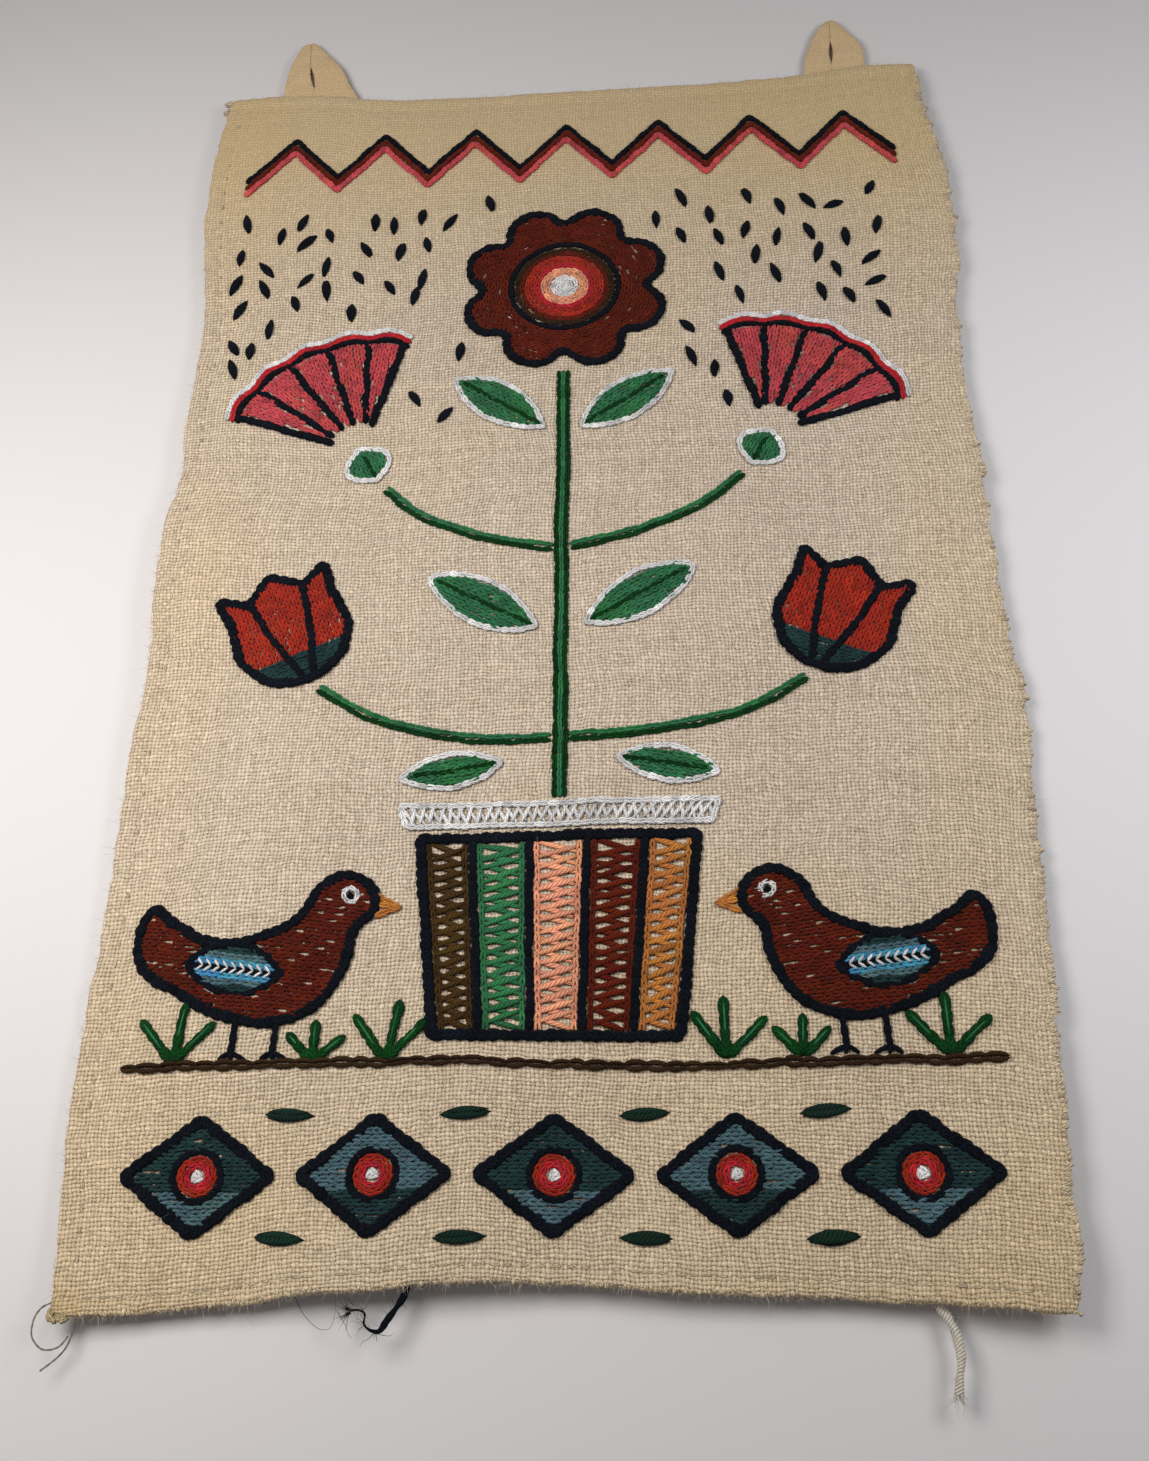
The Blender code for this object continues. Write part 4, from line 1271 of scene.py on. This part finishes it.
def sew_pot():
    """A pot of five upright stripes, each two chains with crossed stitches between, and a white rim."""
    rows = straight_sides(((-58, -412), (58, -412), (49, -497), (-49, -497)), 2.1)

    def upright(share, shift):
        x_top, x_foot = -58 + 116 * share + shift, -49 + 98 * share + shift
        return np.array(((x_top, -416.6), (x_foot, -492.6)))

    rows += [chain(upright(number / 5, 0.0), "wool_black", DIVIDER) for number in range(1, 5)]
    for number, yarn in enumerate(("wool_brown", "wool_green", "wool_peach", "wool_rust", "wool_ochre")):
        left = upright(number / 5, 5.6 if number == 0 else 3.0)
        right = upright((number + 1) / 5, -5.6 if number == 4 else -3.0)
        rows += [chain(left, yarn, STRIPE_EDGE), chain(right, yarn, STRIPE_EDGE)]
        rows += lattice(left + (0.4, 0.0), right - (0.4, 0.0), 4.6, yarn)
    sew_motif("pot", rows, "wool_brown")
    top, foot = np.array(((-64.6, -399.7), (64.6, -399.7))), np.array(((-61.8, -408.8), (61.8, -408.8)))
    rows = [chain(line, "wool_white", BORDER) for line in (top, foot, (top[0], foot[0]), (top[1], foot[1]))]
    rows += lattice(top - (0.0, 0.8), foot + (0.0, 0.8), 3.9, "wool_white", RIM_BAR)
    sew_motif("pot_rim", rows, "wool_white")


def bird_rows():
    """A bird in profile, its beak towards +X: rust with cream flecks, a striped wing and a ringed eye."""
    outline = smooth_closed(BIRD_BODY, 68)
    blade = leaf(42, 22, 10)
    wing = turn(blade, *BIRD_WING)
    eye = turn(ring(2.6, 14), *BIRD_EYE)
    rows = [chain(inset(outline, 2.0), "wool_black", BOLD, True)]
    rows += fill(parallel_lines(outline, -6.0), outline, "wool_rust", 2.8, [wing, eye], eyes=0.13)
    for start in ((45.8, 67.2), (47.6, 62.8), (46.8, 58.2)):
        rows.append(chain((start, (55.5, 61.6)), "wool_ochre", BEAK))
    rows += [chain(turn(ring(3.0, 14), *BIRD_EYE), "wool_white", EYE_RING, True),
             chain(turn(ring(0.9, 8), *BIRD_EYE), "wool_black", PUPIL, True)]
    rows.append(chain(inset(wing, 0.9), "wool_black", MIDDLE, True))
    for line in parallel_lines(blade, 0.0, 2.5):
        away = abs(line[:, 1].mean())
        yarn = next(name for reach, name in WING_BANDS if away < reach)
        rows += placed(fill([line], blade, yarn, 1.8), *BIRD_WING)
    bones = np.arange(6.0, 35.0, 3.4)
    for side in (-1, 1):
        starts = np.column_stack((bones, np.zeros(len(bones))))
        ends = np.column_stack((bones + 2.6, np.full(len(bones), 2.5 * side)))
        rows += placed([bars(starts, ends, "wool_white", WING_FLECK, 1.2)], *BIRD_WING)
    for foot in (-6, 10):
        rows.append(chain(((foot + 1, 15.5), (foot, 4.2)), "wool_black", LEG))
        toes = [(foot - 4.5, 1.6), (foot + 0.5, 1.4), (foot + 6.0, 1.6)]
        rows.append(bars([(foot, 4.6)] * 3, toes, "wool_black", TOE, 0.2))
    return rows


def sew_birds():
    """Two birds that face each other across the pot. The right one is the mirror image."""
    rows = bird_rows()
    for side, mirror in (("left", False), ("right", True)):
        sew_motif(f"bird_{side}", placed(rows, *BIRD, mirror), "wool_rust")


def sew_ground():
    """The ground line in one heavy chain, and tufts of grass on it."""
    route = spaced(smooth_route(((-166, -506), (-60, -504.5), (60, -506.5), (166, -505)), 60), HEAVY.length)
    route[1:-1] += rng.normal(0.0, 1.0, (len(route) - 2, 2)) * (0.9, 0.35)
    row = bars(route[:-1], route[1:], "wool_umber", HEAVY)
    row = row._replace(share=rng.choice((0.74, 0.88, 1.0), len(row.starts)))
    sew_motif("ground_line", [row], "wool_brown")
    rows = []
    for across, reach in ((-64, 19), (64, 19), (-146, 19), (146, 19), (-92, 12), (92, 12)):
        for lean, tall in ((-40, 1.0), (4, 1.1), (46, 0.95)):
            lean = radians(lean + rng.uniform(-6, 6))
            run = reach * tall * np.array((sin(lean), cos(lean)))
            foot = np.array((across + 2.5 * sin(lean), -502.5))
            rows.append(chain((foot, foot + run), "wool_dark_green", GRASS_BLADE))
            # Painted highlight: a lighter green strand along each blade
            rows.append(bars([foot + run * 0.25], [foot + run * 0.95], "wool_green", GRASS_HIGHLIGHT_STRAND, 1.35))
    sew("stitched_grass", rows, "wool_green")


def sew_lozenges():
    """Five lozenges along the foot, each with a ringed eye."""
    outline = np.array(((-31, 0), (0, 23), (31, 0), (0, -23)), float)
    fine = spaced(outline, 2.0, closed=True)[:-1]
    eye = ring(9.6, 24)
    for number in range(5):
        main, other = ("wool_blue", "wool_teal") if number % 2 else ("wool_teal", "wool_blue")
        rows = straight_sides(outline, 2.0)
        for line in parallel_lines(outline, 0.0):
            yarn = other if line[:, 1].mean() < -5 else main
            rows += fill([line], fine, yarn, 2.8, [eye], eyes=0.03)
        rings = ((9.2, "wool_black", MIDDLE), (6.5, "wool_orange", RING), (4.2, "wool_crimson", RING),
                 (1.7, "wool_white", RING))
        rows += [chain(ring(radius, 40), yarn, stitch, True) for radius, yarn, stitch in rings]
        sew_motif(f"lozenge_{number + 1}", placed(rows, 66 * (number - 2), -546), main)


def sew_dashes():
    """Dark green leaf marks between the lozenges, each of a broad stitch and two slim ones over it."""
    broad, slim = [], []
    for across in (-33, 33, -99, 99):
        for height in (-524, -568):
            lean = radians(rng.uniform(-6, 6))
            run, aside = np.array((cos(lean), sin(lean))), np.array((-sin(lean), cos(lean)))
            place = np.array((across, height))
            broad.append(both_ends(place, run * 9.0))
            for shift in (1.0, -1.0):
                slim.append(both_ends(place + aside * shift + run * rng.uniform(-0.9, 0.9), run * 7.6))
    rows = [bars(*zip(*marks), "wool_pine", stitch, lift)
            for marks, stitch, lift in ((broad, BROAD, 0.0), (slim, SATIN, 0.25))]
    sew("stitched_dashes", rows, "wool_teal")


def sew_seeds(taken):
    """Black seeds scattered over the upper part, clear of the other motifs, each a broad stitch and a slim
    one."""
    broad, slim = [], []
    for number, across in enumerate(np.arange(-162, 163, SEED_STEPS[0])):
        for height in np.arange(-80 - 9 * (number % 2), -212, -SEED_STEPS[1]):
            place = np.array((across, height)) + rng.uniform(-SEED_SCATTER, SEED_SCATTER, 2)
            near = [inside(place[None], outline) for outline in taken]
            at_stem = abs(place[0]) < STEM_CLEAR and place[1] < -150.0
            at_motif = any(within[0] or gap[0] < MOTIF_CLEAR for within, gap in near)
            if at_motif or at_stem or abs(place[0]) > 165:
                continue
            lean = rng.normal(0.0, 0.42)
            run = np.array((sin(lean), cos(lean))) * rng.choice((-1.0, 1.0))
            aside = np.array((run[1], -run[0]))
            half = rng.uniform(4.7, 6.7)
            broad.append(both_ends(place, run * half))
            middle = place + aside * rng.uniform(0.5, 1.3) + run * rng.uniform(-1.4, 1.4)
            slim.append(both_ends(middle, run * half * 0.8))
    rows = [bars(*zip(*marks), "wool_black", stitch, lift)
            for marks, stitch, lift in ((broad, SEED, 0.0), (slim, SLIM_SEED, 0.2))]
    sew("stitched_seeds", rows, "wool_black")


def sew_hems():
    """The hems' own running stitches in cream cotton."""
    foot = np.arange(-168, 172, HEM_ROWS[0][0])
    foot = foot + rng.uniform(-0.8, 0.8, len(foot))
    foot_end = foot + rng.uniform(2.4, 4.0, len(foot))
    side = np.arange(-12, -580, -HEM_ROWS[1][0])
    side = side + rng.uniform(-1.4, 1.4, len(side))
    side_end = side - rng.uniform(1.8, 3.2, len(side))
    lines = ([spots(at, read_edge(BOTTOM_EDGE, at) + HEM_ROWS[0][1]) for at in (foot, foot_end)],
             [spots(read_edge(LEFT_EDGE, at) + HEM_ROWS[1][1], at) for at in (side, side_end)])
    rows = [bars(*ends, "cotton_cream", HEM_BAR, -0.15) for ends in lines]
    sew("hem_stitches", rows, "ground_cloth")
    # No stray fibres stand on the flat cotton
    del sewn[-2:]


def sew_edges():
    """The threads that turn at the right edge and round the fold of the bottom hem, frayed ends at the top
    left, and the knotted corner at the bottom left."""
    height = np.arange(-3.0, -588.0, -TURN_STEP)
    height = height[rng.random(len(height)) < TURNED_SHARE[0]]
    count = len(height)
    edge = read_edge(RIGHT_EDGE, height) + side_bumps(height, *RIGHT_BUMPS)
    inner = spots(edge - rng.uniform(2.0, 3.8, count), height + rng.uniform(-0.4, 0.4, count))
    outer = spots(edge + rng.uniform(-0.5, 0.9, count), height + rng.uniform(-1.0, 1.0, count))
    across = np.arange(-178.0, 180.0, TURN_STEP)
    across = across[rng.random(len(across)) < TURNED_SHARE[1]]
    count = len(across)
    foot = read_edge(BOTTOM_EDGE, across)
    above = spots(across, foot + rng.uniform(1.4, 2.8, count))
    below = spots(across + rng.uniform(-0.8, 0.8, count), foot - rng.uniform(-0.8, 0.4, count))
    count = FRAYED_ENDS
    frayed = spots(rng.uniform(-178.5, -174.5, count), rng.uniform(-4.0, 5.5, count))
    frayed_tips = frayed + spots(rng.uniform(-3.6, -1.6, count), rng.uniform(-0.6, 2.0, count))
    count = KNOT_ENDS
    left = read_edge(LEFT_EDGE, np.array(KNOT_HEIGHT))
    middle = np.array((left + 2.8, read_edge(BOTTOM_EDGE, left) + 1.2))
    lean = rng.uniform(0.0, 2 * pi, count)
    reach = KNOT_RADIUS * np.sqrt(rng.random((count, 1)))
    knot = middle + reach * spots(np.cos(lean), 0.8 * np.sin(lean))
    lean = lean + rng.uniform(1.0, 2.2, count)
    knot_tips = knot + rng.uniform(1.6, 2.8, (count, 1)) * rays(1.0, lean)
    rows = [bars(starts, ends, yarn, TURNING, lift) for starts, ends, yarn, lift in (
        (inner, outer, "cotton_cream", -0.9), (frayed, frayed_tips, "cotton_cream", -0.9),
        (above, below, "cotton_cream", -1.0), (knot, knot_tips, "old_cotton", -0.3))]
    sew("edge_turnings", rows, "ground_cloth")


def make_thread(name, radius, tip, slot, yarn, points):
    """A loose end of two-ply yarn: a lobed tube that twists along its route and thins towards its tip."""
    route = smooth_route(points, THREAD_POINTS)
    foot = np.maximum(route[:, 1], read_edge(BOTTOM_EDGE, route[:, 0]))
    line = np.column_stack((route[:, 0], route[:, 2] + wave(route[:, 0], foot), route[:, 1]))
    ahead = unit(np.gradient(line, axis=0))
    aside = unit(np.cross(ahead, (0.0, 1.0, 0.0)))
    over = np.cross(aside, ahead)
    reach = run_along(line)
    around = 14
    angles = 2 * pi * np.arange(around) / around
    twist = 2 * pi * reach / (PLY_TURN * radius)
    lobes = 0.68 + 0.48 * np.abs(np.cos(angles[None] - twist[:, None]))
    lobes *= 1.0 + 0.08 * soft_noise(reach, 0.0, 1.3, 61)[:, None]
    thinned = smooth_step((np.linspace(0.0, 1.0, len(line)) - THINNING[0]) / (THINNING[1] - THINNING[0]))
    size = radius * lobes * (1.0 - (1.0 - tip) * thinned)[:, None]
    circle = (np.cos(angles)[None, :, None] * aside[:, None] + np.sin(angles)[None, :, None] * over[:, None])
    body = line[:, None] + circle * size[..., None]
    points_all = np.concatenate((body.reshape(-1, 3), line[:1], line[-1:]))
    count = len(line)
    begin, end = np.arange(around) / around, np.arange(1, around + 1) / around
    ways = [tube_way(begin, end, reach / TWIST_LENGTH)]
    corners = [tube_sides(count, around).ravel()]
    one = np.arange(around)
    for tip_point, start in ((count * around, 0), (count * around + 1, (count - 1) * around)):
        cap = (np.full(around, tip_point), start + one, start + (one + 1) % around)
        corners.append(np.column_stack(cap).ravel())
        cap_way = (np.full(around, 0.5), 0 * begin, begin, 0 * begin, end, 0 * begin)
        ways.append(np.column_stack(cap_way).reshape(-1, 2))
    sizes = [4] * ((count - 1) * around) + [3] * (2 * around)
    thread = build_mesh(f"thread_end_{name}", points_all * MM, np.concatenate(corners), sizes,
                        {"yarn_way": np.concatenate(ways)})
    recalculate_normals(thread)
    thread.data.materials.append(materials[yarn])
    # The thread ends get little painted shade: they are kept near a stitch's top
    note_values(thread, "height_for_painted_shade", np.full(len(points_all), 0.85))
    enter_piece(thread, slot, f"thread_{name}")
    if radius > 0.5:
        tips.append((line, ahead[-1], radius, yarn))


def make_fibres():
    """Stray fibres in one piece, each a thin closed tube: at the cloth's edges, on the wool, and at the tips
    and all along the thread ends."""
    number = EDGE_FIBRES
    side = rng.choice(4, number, p=SIDE_SHARES)
    at = rng.random(number)
    height, across = -3.0 - at * 586.0, (at - 0.5) * 350.0
    left, right = read_edge(LEFT_EDGE, height) + 0.5, read_edge(RIGHT_EDGE, height) - 0.5
    top, bottom = read_edge(TOP_EDGE, across) - 0.4, read_edge(BOTTOM_EDGE, across) + 0.4
    x = np.choose(side, (left, right, across, across))
    z = np.choose(side, (height, height, top, bottom))
    outward = np.array(((-1.0, 0.0, 0.0), (1.0, 0.0, 0.0), (0.0, 0.0, 1.0), (0.0, 0.0, -1.0)))[side]
    names = ["ground_cloth"] + sorted(YARNS)
    # For each group of fibres, where they stand, their ways, lengths and colours
    groups = [(
        np.column_stack((x, cloth_middle(x, z) + rng.uniform(-0.6, 1.2, number), z)),
        outward + rng.normal(0.0, 0.55, (number, 3)) * (1.0, 0.5, 1.0),
        rng.gamma(3.0, 0.45, number).clip(0.6, 4.5),
        np.zeros(number, int))]

    starts = np.concatenate([row.starts for row in sewn])
    ends = np.concatenate([row.ends for row in sewn])
    each = [len(row.starts) for row in sewn]
    size = np.repeat([(row.stitch.width, row.stitch.height) for row in sewn], each, axis=0)
    yarn_of = np.repeat([names.index(row.yarn) for row in sewn], each)
    weight = np.linalg.norm(ends - starts, axis=1)
    number = WOOL_FIBRES
    pick = rng.choice(len(starts), number, p=weight / weight.sum())
    run = ends[pick] - starts[pick]
    aside = unit(leftward(run))
    over = rng.uniform(-0.42, 0.42, number)
    place = starts[pick] + run * rng.random((number, 1)) + aside * (over * size[pick, 0])[:, None]
    depth = cloth_middle(place[:, 0], place[:, 1]) - CLOTH_THICK / 2 - size[pick, 1] * 0.75
    spread = rng.normal(0.0, 0.8, (number, 3))
    spread[:, 1] = -rng.uniform(0.15, 0.9, number)
    groups.append((np.column_stack((place[:, 0], depth, place[:, 1])), spread, rng.uniform(0.8, 2.4, number),
                   yarn_of[pick]))

    # The threads' two plies part at the tip, and all along them stand short hairs
    number = TIP_FIBRES
    for line, ahead, radius, yarn in tips:
        parted = rng.choice((-0.42, 0.42), (number, 1)) * np.array((ahead[2], 0.0, -ahead[0]))
        colour = np.full(number, names.index(yarn))
        groups.append((
            line[-1] + rng.normal(0.0, radius * 0.30, (number, 3)) + parted * radius,
            ahead + parted + rng.normal(0.0, 0.13, (number, 3)),
            rng.uniform(1.4, 4.6, number),
            colour))
        groups.append((
            line[rng.integers(8, len(line), number)] + rng.normal(0.0, radius * 0.4, (number, 3)),
            rng.normal(0.0, 1.0, (number, 3)) + ahead,
            rng.uniform(0.9, 2.6, number) + radius * 0.5,
            colour))

    base, way, length, colour = (np.concatenate(values) for values in zip(*groups))
    along = np.linspace(0.0, 1.0, FIBRE_POINTS)[None, :, None]
    bend = rng.normal(0.0, 0.5, (len(base), 1, 3))
    lines = base[:, None] + length[:, None, None] * (along * unit(way)[:, None] + along**2 * bend)
    fibres = thin_tubes("stray_fibres", lines, FIBRE_RADIUS)
    for name in names:
        plain = CLOTH_COLOUR if name == "ground_cloth" else YARNS[name]
        fibres.data.materials.append(Board(f"fibre_{name}", 0.9).finish(plain))
    faces = len(fibres.data.polygons) // len(base)
    fibres.data.polygons.foreach_set("material_index", np.repeat(colour, faces).astype(np.int32))
    enter_piece(fibres, "ground_cloth")


def make_hairs():
    """The long dark hairs below the bottom edge and at the right edge."""
    lines = []
    for points in HAIRS:
        route = smooth_route(points, HAIR_POINTS)
        back = HAIR_BACK + wave(route[:, 0], np.maximum(route[:, 1], FOOT_OF_WAVES))
        lines.append(np.column_stack((route[:, 0], back, route[:, 1])))
    hairs = thin_tubes("long_hairs", np.array(lines), HAIR_RADIUS)
    hairs.data.materials.append(materials["wool_black"])
    enter_piece(hairs, "wool_black")


def thin_tubes(name, lines, radius):
    """One piece of many thin closed tubes of as many points each, which thin towards their tips."""
    total, count = lines.shape[:2]
    ahead = np.gradient(lines, axis=1)
    first = unit(np.cross(ahead, (0.3, 0.9, 0.2)))
    second = unit(np.cross(ahead, first))
    around = 3
    angles = (2 * pi * np.arange(around) / around)[:, None]
    circle = np.cos(angles) * first[:, :, None] + np.sin(angles) * second[:, :, None]
    thick = radius * (1.0 - 0.6 * np.linspace(0.0, 1.0, count))[None, :, None, None]
    points = (lines[:, :, None] + circle * thick).reshape(-1, 3)
    sides = tube_sides(count, around)
    last = (count - 1) * around
    one = np.concatenate((sides.ravel(), (2, 1, 0, last, last + 1, last + 2)))
    corners = (one[None] + (count * around * np.arange(total))[:, None]).ravel()
    tubes = build_mesh(name, points * MM, corners, np.tile([4] * len(sides) + [3, 3], total), {})
    recalculate_normals(tubes)
    return tubes


def make_stage():
    """A plain pale wall just behind the hanging, which can't be seen from its back, and a floor far below."""
    for name, size, place, upright, colour in (
            ("wall", 6.0, (0.0, WALL_BACK * MM, 0.6), True, WALL_COLOUR),
            ("floor", 6.0, (0.0, 0.0, FLOOR_HEIGHT * MM), False, FLOOR_COLOUR)):
        half = size / 2
        points = [(place[0] + a, place[1] + (0 if upright else b), place[2] + (b if upright else 0))
                  for a, b in ((-half, -half), (half, -half), (half, half), (-half, half))]
        stage = build_mesh(name, points, [0, 1, 2, 3], [4], {}, smooth=False)
        stage.data.materials.append(plain_material(f"{name}_paint", colour, back_open=upright))


make_camera()
for lamp in LAMPS:
    make_lamp(*lamp)
world = bpy.data.worlds.new("studio")
world.use_nodes = True
world.node_tree.nodes["Background"].inputs["Color"].default_value = (*WORLD_COLOUR, 1.0)
world.node_tree.nodes["Background"].inputs["Strength"].default_value = WORLD_LIGHT
bpy.context.scene.world = world
bpy.context.scene.view_settings.view_transform = "Standard"

materials = {name: yarn_material(name, colour) for name, colour in YARNS.items()}
materials["ground_cloth"] = cloth_material("ground_cloth", THREAD_STEP, CLOTH_COLOUR, WARM_CLOTH)
materials["loop_cloth"] = cloth_material("loop_cloth", TAPE_THREAD_STEP, LOOP_CLOTH, LOOP_CLOTH, 0.6)

# The tips of the thick threads, which get fibres of their own
tips = []
for thread_name, thread in THREADS.items():
    make_thread(thread_name, *thread)

shapes = {name: model_stitch(*values) for name, values in LOBES.items()}
# The rows of wool, which stray fibres stand on
sewn = []
cloth_panel = make_cloth()
loops = [make_loop(side, *values) for side, values in LOOPS.items()]
sew_zigzag()
sew_rosette()
sew_stem()
sew_leaves()
sew_fans()
sew_tulips()
sew_pot()
sew_birds()
sew_ground()
sew_lozenges()
sew_dashes()
# The seeds keep clear of the rosette, the zigzag, the fans and the top leaves
seed_free = [turn(ring(53, 40), *ROSETTE), np.array([(-170, -20), (170, -20), (170, -66), (-170, -66)])]
for _, flip in SIDES:
    fan = [(75 * cos(a), 75 * sin(a)) for a in np.linspace(-0.8, 0.8, 12)] + [(0, 0)]
    seed_free.append(turn(fan, *FAN, flip))
    seed_free.append(turn(leaf(*LEAVES["top"][0]), *LEAVES["top"][1], flip))
sew_seeds(seed_free)
sew_hems()
sew_edges()
make_fibres()
make_hairs()
make_stage()
